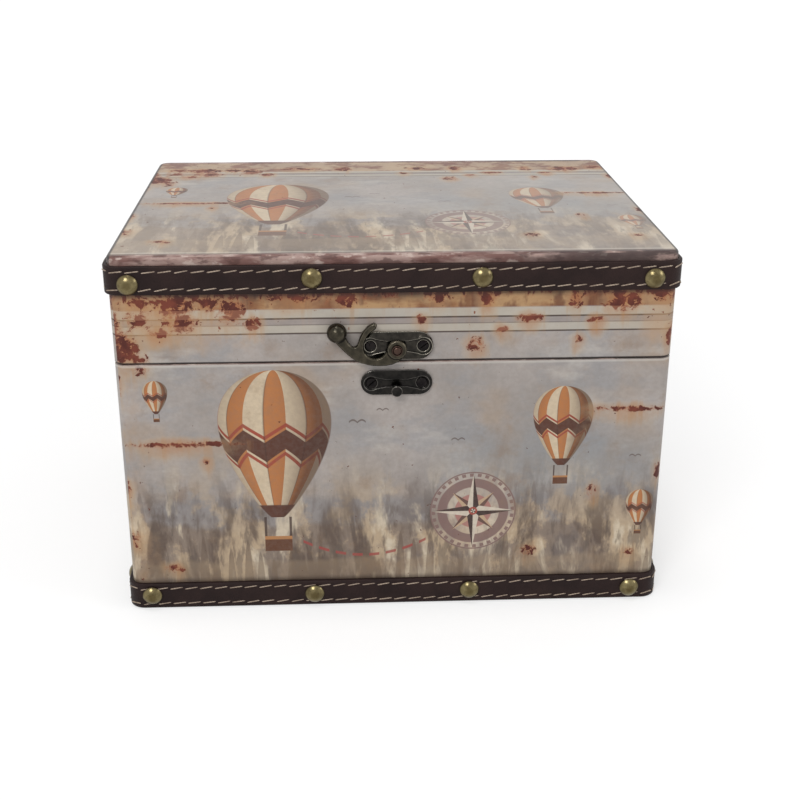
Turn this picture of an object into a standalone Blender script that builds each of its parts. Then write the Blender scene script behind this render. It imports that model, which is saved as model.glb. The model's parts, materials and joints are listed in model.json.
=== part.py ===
"""Keepsake box: a board carcass in a printed wrap, studded straps, a hinged lid and a swing hook.

Metres, +Z up. X runs along the front to the right and Y to the back. The origin is the
centre of the underside, so the box stands on Z = 0. A size that ends in _share or _shares
is a fraction of the size that its comment names.
"""

import math

import bmesh
import bpy
from mathutils import Matrix, Vector

# The wrapped box, without straps and metalwork
BOX_WIDTH = 0.260
BOX_DEPTH = 0.203
BOX_HEIGHT = 0.180
LID_HEIGHT = 0.0514
SEAM_GAP = 0.0004
CORNER_RADIUS = 0.006
TOP_EDGE_RADIUS = 0.002
RIM_EDGE_RADIUS = 0.0004
SMALLEST_RADIUS = 0.0002

# Gap between touching pieces
CLEARANCE = 0.0003

# Boards and skins
WALL_THICKNESS = 0.007
TOP_BOARD_THICKNESS = 0.006
FLOOR_THICKNESS = 0.006
COVER_THICKNESS = 0.0008
LINING_THICKNESS = 0.0008
LINING_CORNER_RADIUS = 0.001
FOOT_SHEET_THICKNESS = 0.0008
COVER_LIFT = 0.0004

# Straps, stitched and nailed round the lid and the base
STRAP_WIDTH = 0.0134
STRAP_THICKNESS = 0.0017
STRAP_EDGE_RADIUS = 0.0005
STRAP_DROP = 0.0042
STRAP_JOINT_GAP = 0.0006

# Dome nails
NAIL_RADIUS = 0.00475
NAIL_RIM_HEIGHT = 0.0003
NAIL_HEIGHT = 0.0026
NAIL_SHANK_RADIUS = 0.0008
NAIL_LENGTH = 0.0090
NAIL_TIP_LENGTH = 0.0016
# Places along a side, as shares of half the length of its wall, and heights from the strap's
# middle, as shares of the strap's width
LID_FRONT_NAIL_SHARES = ((-0.989, -0.11), (-0.312, 0.05), (0.324, 0.02), (0.972, -0.08))
BASE_FRONT_NAIL_SHARES = ((-0.987, 0.04), (-0.329, -0.02), (0.304, 0.01), (0.966, -0.04))
SIDE_NAIL_SHARES = ((-0.81, 0.02), (0.01, -0.03), (0.80, 0.03))

# Countersunk screws of the latch and the hinges
SCREW_HEAD_RADIUS = 0.0024
SCREW_HEAD_DEPTH = 0.0012
SCREW_CROWN = 0.0003
SCREW_CROWN_SHARE = 0.6
SCREW_SHANK_RADIUS = 0.0009
SCREW_LENGTH = 0.0075
SCREW_TIP_LENGTH = 0.0018
HINGE_SCREW_SHARE = 0.62

# Latch: a plate on the lid, a catch with a stud on the base
LATCH_X = 0.0005
PIVOT_ABOVE_SEAM = 0.0072
LATCH_PLATE_LENGTH = 0.0338
LATCH_PLATE_HEIGHT = 0.0136
LATCH_PLATE_THICKNESS = 0.0020
LATCH_PLATE_ABOVE_PIVOT = 0.0009
LATCH_SCREW_SPACING = 0.0244
CATCH_PLATE_LENGTH = 0.0334
CATCH_PLATE_HEIGHT = 0.0122
CATCH_PLATE_THICKNESS = 0.0017
CATCH_SCREW_SPACING = 0.0236
CATCH_ABOVE_STUD = 0.0028
STUD_NECK_RADIUS = 0.0015
STUD_HEAD_RADIUS = 0.0027
STUD_HEAD_THICKNESS = 0.0011
# Face and side of the stud's head, as shares of its radius and its thickness
STUD_FACE_SHARE = 0.7
STUD_SIDE_SHARE = 0.6

# Both plates slope up from a low edge to a ridge, which goes round a sunk panel
PLATE_EDGE_HEIGHT = 0.0007
PLATE_BORDER = 0.0025
PANEL_DEPTH = 0.0004
PANEL_EASE = 0.0003
PANEL_WAIST_DROP = 0.0016
# The ridge's lobes turn past a quarter by this share of a half turn, down to a waist that
# starts at this share of the way from the plate's middle to a screw
LOBE_TURN_SHARE = 0.68
WAIST_START_SHARE = 0.42

# Swing hook, outlined about its rivet with its ball to the left, as it hangs open
HOOK_REACH = 0.0202
HOOK_THICKNESS = 0.0020
HOOK_EDGE_BEVEL = 0.0006
HUB_RADIUS = 0.0046
HUB_HEIGHT = 0.0028
HUB_EASE = 0.0005
RIVET_RADIUS = 0.0015
RIVET_HEAD_RADIUS = 0.0026
RIVET_HEAD_HEIGHT = 0.0012
BALL_RADIUS = 0.0047
BALL_FLAT = 0.0008
BALL_SWING_CLEARANCE = 0.0005
# Ball centre and outline, as shares of the hook's reach
BALL_SHARES = (-1.362, 0.404)
HOOK_OUTLINE_SHARES = (
    (0.040, 0.190), (0.180, 0.090), (0.200, -0.075), (0.130, -0.225), (-0.090, -0.360),
    (-0.390, -0.400), (-0.680, -0.365), (-0.930, -0.270), (-1.130, -0.110), (-1.345, 0.120),
    (-1.500, 0.330), (-1.366, 0.520), (-1.200, 0.400), (-1.135, 0.235), (-1.060, 0.115),
    (-0.980, 0.070), (-0.905, 0.120), (-0.865, 0.245), (-0.790, 0.410), (-0.672, 0.555),
    (-0.530, 0.638), (-0.458, 0.600), (-0.478, 0.505), (-0.600, 0.410), (-0.700, 0.275),
    (-0.750, 0.100), (-0.725, -0.080), (-0.615, -0.185), (-0.470, -0.215), (-0.340, -0.165),
    (-0.245, -0.050), (-0.140, 0.130),
)

# Hinges on the back
HINGE_FROM_CORNER = 0.055
HINGE_LENGTH = 0.026
HINGE_LEAF_HEIGHT = 0.0125
HINGE_LEAF_THICKNESS = 0.0009
HINGE_SCREW_SPACING = 0.0150
KNUCKLE_RADIUS = 0.0020
KNUCKLE_GAP = 0.0003
PIN_RADIUS = 0.0009
PIN_TIP_RADIUS = 0.0015
PIN_TIP_LENGTH = 0.0010
MIDDLE_KNUCKLE_SHARE = 0.36

# Facets
CORNER_STEPS = 5
EDGE_STEPS = 3
NAIL_STEPS = 12
DOME_STEPS = 3
SCREW_STEPS = 10
KNUCKLE_STEPS = 14
OUTLINE_STEPS = 2
LOBE_STEPS = 6
BALL_STEPS = 14
SHARP_ANGLE = math.radians(32)

# How far a cutter runs past what it cuts, and the distance that merges points
OVERRUN = 0.002
MERGE_DISTANCE = 0.00002

# Heights and insets that several pieces share
SEAM_HEIGHT = BOX_HEIGHT - LID_HEIGHT
BASE_TOP = SEAM_HEIGHT - SEAM_GAP / 2
LID_BOTTOM = SEAM_HEIGHT + SEAM_GAP / 2
WALL_OUTER_INSET = COVER_THICKNESS + CLEARANCE
WALL_INNER_INSET = WALL_OUTER_INSET + WALL_THICKNESS
LINING_OUTER_INSET = WALL_INNER_INSET + CLEARANCE
LINING_INNER_INSET = LINING_OUTER_INSET + LINING_THICKNESS
SIDE_WALL_HALF_LENGTH = BOX_DEPTH / 2 - WALL_OUTER_INSET
CROSS_WALL_HALF_LENGTH = BOX_WIDTH / 2 - WALL_INNER_INSET - CLEARANCE
FLOOR_BOTTOM = FOOT_SHEET_THICKNESS + CLEARANCE
FLOOR_TOP = FLOOR_BOTTOM + FLOOR_THICKNESS
TOP_BOARD_TOP = BOX_HEIGHT - WALL_OUTER_INSET
TOP_BOARD_BOTTOM = TOP_BOARD_TOP - TOP_BOARD_THICKNESS
STRAP_PROUD = CLEARANCE + STRAP_THICKNESS
LID_STRAP_TOP = BOX_HEIGHT - STRAP_DROP
LID_STRAP_BOTTOM = LID_STRAP_TOP - STRAP_WIDTH
BASE_STRAP_BOTTOM = COVER_LIFT
NAIL_SEAT = STRAP_PROUD + CLEARANCE

# Places of the latch, the hook and the hinge axis
PIVOT_HEIGHT = SEAM_HEIGHT + PIVOT_ABOVE_SEAM
STUD_HEIGHT = PIVOT_HEIGHT - HOOK_REACH
LATCH_PLATE_MIDDLE = PIVOT_HEIGHT + LATCH_PLATE_ABOVE_PIVOT
CATCH_PLATE_MIDDLE = STUD_HEIGHT + CATCH_ABOVE_STUD
LATCH_FACE = CLEARANCE + LATCH_PLATE_THICKNESS
CATCH_FACE = CLEARANCE + CATCH_PLATE_THICKNESS
HOOK_BACK = LATCH_FACE + CLEARANCE
HOOK_FRONT = HOOK_BACK + HOOK_THICKNESS
STUD_HEAD_BACK = HOOK_FRONT + CLEARANCE
BALL_BACK = STRAP_PROUD + BALL_SWING_CLEARANCE
HINGE_AXIS_Y = BOX_DEPTH / 2 + CLEARANCE + KNUCKLE_RADIUS
LEAF_FACE = CLEARANCE + HINGE_LEAF_THICKNESS
HINGE_AXIS = Vector((0, HINGE_AXIS_Y, SEAM_HEIGHT))
HOOK_PIVOT = Vector((LATCH_X, -BOX_DEPTH / 2, PIVOT_HEIGHT))

# Turn about Z that takes the front to each side
FRONT, RIGHT, BACK, LEFT = 0, math.pi / 2, math.pi, -math.pi / 2

# Colour, roughness and metallic value
FINISHES = {
    "printed_wrap": ((0.60, 0.55, 0.50), 0.45, 0.0),
    "strap_leather": ((0.045, 0.028, 0.026), 0.50, 0.0),
    "antique_brass": ((0.36, 0.29, 0.14), 0.35, 1.0),
    "dark_bronze": ((0.075, 0.062, 0.048), 0.42, 1.0),
    "fibreboard": ((0.47, 0.34, 0.21), 0.85, 0.0),
    "lining_felt": ((0.055, 0.034, 0.026), 0.95, 0.0),
    "foot_felt": ((0.030, 0.026, 0.024), 0.95, 0.0),
}


def clear_scene():
    for existing in list(bpy.data.objects):
        bpy.data.objects.remove(existing, do_unlink=True)


def make_materials():
    materials = {}
    for name, (colour, roughness, metallic) in FINISHES.items():
        material = bpy.data.materials.new(name)
        material.use_nodes = True
        shader = material.node_tree.nodes["Principled BSDF"]
        shader.inputs["Base Color"].default_value = (*colour, 1.0)
        shader.inputs["Roughness"].default_value = roughness
        shader.inputs["Metallic"].default_value = metallic
        materials[name] = material
    return materials


def make_mesh(name, bm, material):
    """Closes a bmesh into a mesh with its faces pointing out."""
    bmesh.ops.recalc_face_normals(bm, faces=bm.faces[:])
    mesh = bpy.data.meshes.new(name)
    bm.to_mesh(mesh)
    bm.free()
    if material:
        mesh.materials.append(material)
    mesh.shade_smooth()
    mesh.set_sharp_from_angle(angle=SHARP_ANGLE)
    return mesh


def place(name, mesh, carrier=None, at=(0, 0, 0), facing=None):
    """Adds an object. A facing turns local Z from up to out of that side of the box."""
    obj = bpy.data.objects.new(name, mesh)
    bpy.context.collection.objects.link(obj)
    obj.location = at
    if facing is not None:
        obj.rotation_euler = (math.pi / 2, 0, facing)
    if carrier:
        obj.parent = carrier
        obj.matrix_parent_inverse = Matrix.Translation(-carrier_origin(carrier))
    return obj


def carrier_origin(carrier):
    origin = Vector(carrier.location)
    if carrier.parent:
        origin += carrier_origin(carrier.parent)
    return origin


def add_carrier(name, at, parent=None):
    """An empty on a joint's axis, which carries the pieces that the joint moves."""
    empty = bpy.data.objects.new(name, None)
    bpy.context.collection.objects.link(empty)
    empty.location = at
    if parent:
        empty.parent = parent
        empty.location = at - carrier_origin(parent)
    return empty


def hide_tool(obj):
    """Marks a cutter or a joined-in shape as no piece of the box."""
    obj.hide_render = True
    obj.display_type = "WIRE"
    return obj


def apply_tool(obj, tool, operation="DIFFERENCE"):
    modifier = obj.modifiers.new(tool.name, "BOOLEAN")
    modifier.operation = operation
    modifier.solver = "EXACT"
    modifier.object = tool


def side_point(side, along, proud, height):
    """A point on a side of the wrapped box, seen from outside: along runs to the right."""
    half = BOX_DEPTH / 2 if side in (FRONT, BACK) else BOX_WIDTH / 2
    return Matrix.Rotation(side, 4, "Z") @ Vector((along, -half - proud, height))


def wall_half_length(side):
    return CROSS_WALL_HALF_LENGTH if side in (FRONT, BACK) else SIDE_WALL_HALF_LENGTH


def ring_points(half_x, half_y, radius, z):
    """Points round a rectangle with rounded corners."""
    points = []
    for quarter, (side_x, side_y) in enumerate(((1, 1), (-1, 1), (-1, -1), (1, -1))):
        for step in range(CORNER_STEPS + 1):
            angle = (quarter + step / CORNER_STEPS) * math.pi / 2
            x = side_x * (half_x - radius) + radius * math.cos(angle)
            y = side_y * (half_y - radius) + radius * math.sin(angle)
            points.append((x, y, z))
    return points


def box_ring_points(inset, z):
    """Points round the box, so far inside its wrapped sides."""
    smallest = LINING_CORNER_RADIUS if inset > COVER_THICKNESS else SMALLEST_RADIUS
    radius = max(CORNER_RADIUS - inset, smallest)
    return ring_points(BOX_WIDTH / 2 - inset, BOX_DEPTH / 2 - inset, radius, z)


def loft(bm, rings, closed):
    """Extrudes the first ring's face through the other rings, and back to the first where closed."""
    caps = [bm.faces.new([bm.verts.new(point) for point in rings[0]])]
    for ring in rings[1:] + (rings[:1] if closed else []):
        extruded = bmesh.ops.extrude_face_region(bm, geom=caps[-1:])["geom"]
        caps.append(next(item for item in extruded if isinstance(item, bmesh.types.BMFace)))
        for vert, point in zip(caps[-1].verts, ring):
            vert.co = point
    bmesh.ops.delete(bm, geom=caps if closed else caps[1:-1], context="FACES_ONLY")
    if closed:
        bmesh.ops.remove_doubles(bm, verts=bm.verts[:], dist=MERGE_DISTANCE)


def arc_shares(steps):
    """Pairs (1 - cos, sin) for a quarter turn, from a side to a top."""
    angles = [math.pi / 2 * step / steps for step in range(steps + 1)]
    return [(1 - math.cos(angle), math.sin(angle)) for angle in angles]


def top_edge_profile(inset, top):
    """Insets and heights of the rounded top edge of a layer so far inside the wrap."""
    radius = max(TOP_EDGE_RADIUS - inset, SMALLEST_RADIUS)
    return [(inset + radius * run, top - radius + radius * rise) for run, rise in arc_shares(EDGE_STEPS)]


def box_layer(name, profile, material, closed, carrier=None):
    """A layer that runs round the box, from insets and heights."""
    bm = bmesh.new()
    loft(bm, [box_ring_points(inset, z) for inset, z in profile], closed)
    return place(name, make_mesh(name, bm, material), carrier)


def make_lid_cover(materials, lid):
    """Wrap of the lid: top and sides, turned in over the rim."""
    inner = top_edge_profile(COVER_THICKNESS, BOX_HEIGHT - COVER_THICKNESS)
    outer = top_edge_profile(0, BOX_HEIGHT)
    rim = [
        (COVER_THICKNESS, LID_BOTTOM + COVER_THICKNESS),
        (WALL_INNER_INSET, LID_BOTTOM + COVER_THICKNESS),
        (WALL_INNER_INSET, LID_BOTTOM),
        (RIM_EDGE_RADIUS, LID_BOTTOM),
        (0, LID_BOTTOM + RIM_EDGE_RADIUS),
    ]
    return box_layer("lid_cover", inner[::-1] + rim + outer, materials["printed_wrap"], False, lid)


def make_base_cover(materials):
    """Wrap of the base: sides, turned in over the rim."""
    profile = [
        (COVER_THICKNESS, COVER_LIFT),
        (COVER_THICKNESS, BASE_TOP - COVER_THICKNESS),
        (WALL_INNER_INSET, BASE_TOP - COVER_THICKNESS),
        (WALL_INNER_INSET, BASE_TOP),
        (RIM_EDGE_RADIUS, BASE_TOP),
        (0, BASE_TOP - RIM_EDGE_RADIUS),
        (0, COVER_LIFT),
    ]
    return box_layer("base_cover", profile, materials["printed_wrap"], True)


def make_lining(name, rim, end, materials, carrier=None):
    """Felt on the inside walls and on the floor or the underside of the top."""
    inward = LINING_THICKNESS if end > rim else -LINING_THICKNESS
    profile = [
        (LINING_OUTER_INSET, end),
        (LINING_OUTER_INSET, rim),
        (LINING_INNER_INSET, rim),
        (LINING_INNER_INSET, end - inward),
    ]
    return box_layer(name, profile, materials["lining_felt"], False, carrier)


def make_strap(name, bottom, materials, carrier=None):
    """Strap round the box with eased edges, its ends meeting at the middle of the back."""
    top = bottom + STRAP_WIDTH
    profile = [
        (-CLEARANCE, bottom),
        (STRAP_EDGE_RADIUS - STRAP_PROUD, bottom),
        (-STRAP_PROUD, bottom + STRAP_EDGE_RADIUS),
        (-STRAP_PROUD, top - STRAP_EDGE_RADIUS),
        (STRAP_EDGE_RADIUS - STRAP_PROUD, top),
        (-CLEARANCE, top),
    ]
    strap = box_layer(name, profile, materials["strap_leather"], True, carrier)
    low = Vector((-STRAP_JOINT_GAP / 2, BOX_DEPTH / 2, bottom - OVERRUN))
    high = Vector((STRAP_JOINT_GAP / 2, BOX_DEPTH / 2 + STRAP_PROUD + OVERRUN, top + OVERRUN))
    cut = block(name + "_joint_cutter", low, high)
    apply_tool(strap, hide_tool(place(cut.name, cut)))
    return strap


def block(name, low, high, material=None):
    """A box between two corners."""
    bm = bmesh.new()
    bmesh.ops.create_cube(bm, size=1)
    bmesh.ops.scale(bm, vec=high - low, verts=bm.verts[:])
    bmesh.ops.translate(bm, vec=(low + high) / 2, verts=bm.verts[:])
    return make_mesh(name, bm, material)


def make_side_wall(name, side, low, high, materials, carrier=None):
    """A board across a whole end, with its two outer corners rounded under the wrap."""
    outer = BOX_WIDTH / 2 - WALL_OUTER_INSET
    inner = BOX_WIDTH / 2 - WALL_INNER_INSET
    end = SIDE_WALL_HALF_LENGTH
    radius = min(max(CORNER_RADIUS - WALL_OUTER_INSET, SMALLEST_RADIUS), WALL_THICKNESS)
    centre = outer - radius
    corner = [(centre + radius * rise, end - radius * run) for run, rise in arc_shares(CORNER_STEPS)]
    half = [(inner, end)] + corner
    outline = half + [(x, -y) for x, y in reversed(half)]
    bm = bmesh.new()
    add_prism(bm, [(side * x, y) for x, y in outline], low, high)
    return place(name, make_mesh(name, bm, materials["fibreboard"]), carrier)


def make_cross_wall(name, side, low, high, materials, carrier=None):
    """A board between the two side walls, at the front or the back."""
    end = CROSS_WALL_HALF_LENGTH
    insets = (WALL_OUTER_INSET, WALL_INNER_INSET)
    near, far = sorted(side * (BOX_DEPTH / 2 - inset) for inset in insets)
    wall = block(name, Vector((-end, near, low)), Vector((end, far, high)), materials["fibreboard"])
    return place(name, wall, carrier)


def make_walls(prefix, low, high, materials, carrier=None):
    return [
        make_side_wall(prefix + "_left_wall", -1, low, high, materials, carrier),
        make_side_wall(prefix + "_right_wall", 1, low, high, materials, carrier),
        make_cross_wall(prefix + "_front_wall", -1, low, high, materials, carrier),
        make_cross_wall(prefix + "_back_wall", 1, low, high, materials, carrier),
    ]


def make_top_board(materials, lid):
    """The board that the lid's four walls carry."""
    bottom = [(WALL_OUTER_INSET, TOP_BOARD_BOTTOM)]
    edge = top_edge_profile(WALL_OUTER_INSET, TOP_BOARD_TOP)
    return box_layer("lid_top_board", bottom + edge, materials["fibreboard"], False, lid)


def make_floor_board(materials):
    """The board between the base's four walls."""
    inset = WALL_INNER_INSET + CLEARANCE
    high = Vector((BOX_WIDTH / 2 - inset, BOX_DEPTH / 2 - inset, FLOOR_TOP))
    low = Vector((-high.x, -high.y, FLOOR_BOTTOM))
    return place("base_floor_board", block("base_floor_board", low, high, materials["fibreboard"]))


def make_foot_sheet(materials):
    """Felt sheet on the underside, which the box rests on."""
    profile = [(WALL_OUTER_INSET, 0), (WALL_OUTER_INSET, FOOT_SHEET_THICKNESS)]
    return box_layer("base_foot_sheet", profile, materials["foot_felt"], False)


def add_prism(bm, outline, low, high):
    """An outline in X and Y, filled and extruded between two heights."""
    face = bm.faces.new([bm.verts.new((x, y, low)) for x, y in outline])
    extruded = bmesh.ops.extrude_face_region(bm, geom=[face])["geom"]
    raised = [item for item in extruded if isinstance(item, bmesh.types.BMVert)]
    bmesh.ops.translate(bm, vec=(0, 0, high - low), verts=raised)


def add_lathe(bm, profile, steps):
    """Radii and heights, turned about local Z. Points on the axis close the shape."""
    verts = [bm.verts.new((radius, 0, z)) for radius, z in profile]
    edges = [bm.edges.new(pair) for pair in zip(verts, verts[1:])]
    turn = {"cent": (0, 0, 0), "axis": (0, 0, 1), "angle": 2 * math.pi, "steps": steps}
    bmesh.ops.spin(bm, geom=verts + edges, use_merge=True, **turn)
    bmesh.ops.remove_doubles(bm, verts=bm.verts[:], dist=MERGE_DISTANCE)


def lathe_mesh(name, profile, steps, material=None):
    bm = bmesh.new()
    add_lathe(bm, profile, steps)
    return make_mesh(name, bm, material)


def dome_profile(radius, rim, height):
    """Rim and crown of a domed head, from its apex down to its flat underside."""
    crown = [(radius * (1 - run), rim + (height - rim) * rise) for run, rise in arc_shares(DOME_STEPS)]
    return crown[::-1] + [(radius, 0)]


def nail_mesh(material):
    """A nail whose head rests on local Z = 0 and whose shank points down."""
    shank = [
        (NAIL_SHANK_RADIUS, 0),
        (NAIL_SHANK_RADIUS, NAIL_TIP_LENGTH - NAIL_LENGTH),
        (0, -NAIL_LENGTH),
    ]
    profile = dome_profile(NAIL_RADIUS, NAIL_RIM_HEIGHT, NAIL_HEIGHT) + shank
    return lathe_mesh("nail", profile, NAIL_STEPS, material)


def screw_mesh(material):
    """A screw whose head is flush with local Z = 0, apart from its low crown."""
    profile = [
        (0, SCREW_CROWN),
        (SCREW_HEAD_RADIUS * SCREW_CROWN_SHARE, SCREW_CROWN * SCREW_CROWN_SHARE),
        (SCREW_HEAD_RADIUS, 0),
        (SCREW_SHANK_RADIUS, -SCREW_HEAD_DEPTH),
        (SCREW_SHANK_RADIUS, SCREW_TIP_LENGTH - SCREW_LENGTH),
        (0, -SCREW_LENGTH),
    ]
    return lathe_mesh("screw", profile, SCREW_STEPS, material)


def nail_hole_mesh():
    radius = NAIL_SHANK_RADIUS + CLEARANCE
    depth = NAIL_LENGTH + CLEARANCE
    profile = [(0, OVERRUN), (radius, OVERRUN), (radius, -depth), (0, -depth)]
    return lathe_mesh("nail_hole", profile, SCREW_STEPS)


def screw_hole_mesh():
    """A countersunk hole that keeps its distance from the screw all round."""
    head = SCREW_HEAD_RADIUS + CLEARANCE
    shank = SCREW_SHANK_RADIUS + CLEARANCE
    seat = SCREW_HEAD_DEPTH + CLEARANCE
    depth = SCREW_LENGTH + CLEARANCE
    wide = [(0, OVERRUN), (head, OVERRUN), (head, -CLEARANCE)]
    narrow = [(shank, -seat), (shank, -depth), (0, -depth)]
    return lathe_mesh("screw_hole", wide + narrow, SCREW_STEPS)


def nail_places(front_shares, strap_bottom):
    """Name, side and seat of each nail of one strap."""
    rows = [("front", FRONT, front_shares)]
    rows += [("left", LEFT, SIDE_NAIL_SHARES), ("right", RIGHT, SIDE_NAIL_SHARES)]
    places = []
    for label, side, shares in rows:
        for number, (along_share, height_share) in enumerate(shares, 1):
            along = along_share * wall_half_length(side)
            height = strap_bottom + (0.5 + height_share) * STRAP_WIDTH
            places.append((f"{label}_nail_{number}", side, side_point(side, along, NAIL_SEAT, height)))
    return places


def add_nails(prefix, front_shares, strap_bottom, targets, materials, carrier=None):
    """The nails of one strap, each in its hole through the strap and the wrap into a wall."""
    mesh = nail_mesh(materials["antique_brass"])
    hole = nail_hole_mesh()
    for name, side, point in nail_places(front_shares, strap_bottom):
        place(f"{prefix}_{name}", mesh, carrier, point, side)
        cutter = hide_tool(place(f"{prefix}_{name}_hole", hole, None, point, side))
        wall = targets["walls"][side]
        for target in (targets["strap"], targets["cover"], wall):
            apply_tool(target, cutter)


def add_screws(names, side, points, targets, materials, carrier=None):
    """Screws with their heads at the given points, each in its own hole through the targets."""
    mesh = screw_mesh(materials["dark_bronze"])
    hole = screw_hole_mesh()
    for name, point in zip(names, points):
        place(name, mesh, carrier, point, side)
        cutter = hide_tool(place(name + "_hole", hole, None, point, side))
        for target in targets:
            apply_tool(target, cutter)


def plate_ring(end_x, radius, turn, waist, z):
    """Two round ends, each turned so far about its centre, with a straight waist between them."""
    quarter = []
    for step in range(LOBE_STEPS + 1):
        angle = turn * step / LOBE_STEPS
        quarter.append((end_x + radius * math.cos(angle), radius * math.sin(angle)))
    quarter.append(waist)
    top = quarter + [(-x, y) for x, y in reversed(quarter)]
    return [(x, y, z) for x, y in top + [(x, -y) for x, y in reversed(top[1:-1])]]


def plate_rings(length, height, thickness, half_spacing):
    """Outline of a plate at its back and its edge, then its ridge, then its sunk panel."""
    waist_x = half_spacing * WAIST_START_SHARE
    outer = (length / 2 - height / 2, height / 2, math.pi / 2, (waist_x, height / 2))
    rings = [plate_ring(*outer, 0), plate_ring(*outer, PLATE_EDGE_HEIGHT)]
    lobe = height / 2 - PLATE_BORDER
    for ease, z in ((0, thickness), (PANEL_EASE, thickness - PANEL_DEPTH)):
        waist = (waist_x, lobe - ease - PANEL_WAIST_DROP)
        rings.append(plate_ring(half_spacing, lobe - ease, math.pi * LOBE_TURN_SHARE, waist, z))
    return rings


def make_plate(name, length, height, thickness, screw_spacing, middle, materials, carrier=None):
    """A cast plate on the front of the box, its back on local Z = 0."""
    bm = bmesh.new()
    loft(bm, plate_rings(length, height, thickness, screw_spacing / 2), False)
    mesh = make_mesh(name, bm, materials["dark_bronze"])
    return place(name, mesh, carrier, side_point(FRONT, LATCH_X, CLEARANCE, middle), FRONT)


def make_latch_plate(materials, lid):
    """Plate on the lid that holds the hook's rivet, a little below its middle."""
    size = LATCH_PLATE_LENGTH, LATCH_PLATE_HEIGHT, LATCH_PLATE_THICKNESS
    return make_plate("latch_plate", *size, LATCH_SCREW_SPACING, LATCH_PLATE_MIDDLE, materials, lid)


def make_catch_plate(materials):
    """Plate on the base with the headed stud that the hook's notch takes."""
    size = CATCH_PLATE_LENGTH, CATCH_PLATE_HEIGHT, CATCH_PLATE_THICKNESS
    plate = make_plate("catch_plate", *size, CATCH_SCREW_SPACING, CATCH_PLATE_MIDDLE, materials)
    neck_start = -CATCH_PLATE_THICKNESS / 2
    head_back = STUD_HEAD_BACK - CATCH_FACE
    head_front = head_back + STUD_HEAD_THICKNESS
    profile = [
        (0, head_front),
        (STUD_HEAD_RADIUS * STUD_FACE_SHARE, head_front),
        (STUD_HEAD_RADIUS, head_back + STUD_HEAD_THICKNESS * STUD_SIDE_SHARE),
        (STUD_HEAD_RADIUS, head_back),
        (STUD_NECK_RADIUS, head_back),
        (STUD_NECK_RADIUS, neck_start),
        (0, neck_start),
    ]
    stud = lathe_mesh("catch_stud", profile, SCREW_STEPS, materials["dark_bronze"])
    point = side_point(FRONT, LATCH_X, CATCH_FACE, STUD_HEIGHT)
    apply_tool(plate, hide_tool(place("catch_stud", stud, None, point, FRONT)), "UNION")
    return plate


def smooth_outline(points, steps):
    """A closed Catmull-Rom curve through the points."""
    outline = []
    count = len(points)
    for index in range(count):
        before, start, end, after = (Vector(points[(index + shift) % count]) for shift in (-1, 0, 1, 2))
        for step in range(steps):
            t = step / steps
            bend = 2 * before - 5 * start + 4 * end - after
            twist = 3 * start - before - 3 * end + after
            outline.append((2 * start + (end - before) * t + bend * t**2 + twist * t**3) / 2)
    return outline


def make_hook(materials, hook):
    """Swing hook: hub, curved arm, horn and ball, cast as one piece and bored for its rivet."""
    points = [HOOK_REACH * Vector(share) for share in HOOK_OUTLINE_SHARES]
    outline = [point[:] for point in smooth_outline(points, OUTLINE_STEPS)]
    bm = bmesh.new()
    add_prism(bm, outline, HOOK_BACK, HOOK_FRONT)
    face = HOOK_FRONT - MERGE_DISTANCE
    front = [edge for edge in bm.edges if all(vert.co.z > face for vert in edge.verts)]
    bevel = {"affect": "EDGES", "segments": 1, "profile": 0.5, "material": -1, "clamp_overlap": True}
    bmesh.ops.bevel(bm, geom=front, offset=HOOK_EDGE_BEVEL, offset_type="OFFSET", **bevel)
    mesh = make_mesh("latch_hook", bm, materials["dark_bronze"])
    body = place("latch_hook", mesh, hook, HOOK_PIVOT, FRONT)
    for name, mesh in (("hook_ball", ball_mesh()), ("hook_hub", hub_mesh())):
        apply_tool(body, hide_tool(place(name, mesh, None, HOOK_PIVOT, FRONT)), "UNION")
    return body


def ball_mesh():
    """Round knob, cut flat behind so that it clears the strap as it passes."""
    bm = bmesh.new()
    bmesh.ops.create_uvsphere(bm, u_segments=BALL_STEPS, v_segments=BALL_STEPS // 2, radius=BALL_RADIUS)
    centre = Vector((*(HOOK_REACH * Vector(BALL_SHARES)), BALL_BACK + BALL_FLAT))
    bmesh.ops.translate(bm, vec=centre, verts=bm.verts[:])
    everything = bm.verts[:] + bm.edges[:] + bm.faces[:]
    plane = {"plane_co": (0, 0, BALL_BACK), "plane_no": (0, 0, -1), "clear_outer": True}
    cut = bmesh.ops.bisect_plane(bm, geom=everything, **plane)
    rim = [item for item in cut["geom_cut"] if isinstance(item, bmesh.types.BMEdge)]
    bmesh.ops.contextual_create(bm, geom=rim)
    return make_mesh("hook_ball", bm, None)


def hub_mesh():
    """Raised boss round the rivet, rooted half way into the arm."""
    root = HOOK_BACK + HOOK_THICKNESS / 2
    top = HOOK_BACK + HUB_HEIGHT
    side = [(HUB_RADIUS - HUB_EASE, top), (HUB_RADIUS, top - HUB_EASE), (HUB_RADIUS, root)]
    return lathe_mesh("hook_hub", [(0, top)] + side + [(0, root)], BALL_STEPS)


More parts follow.
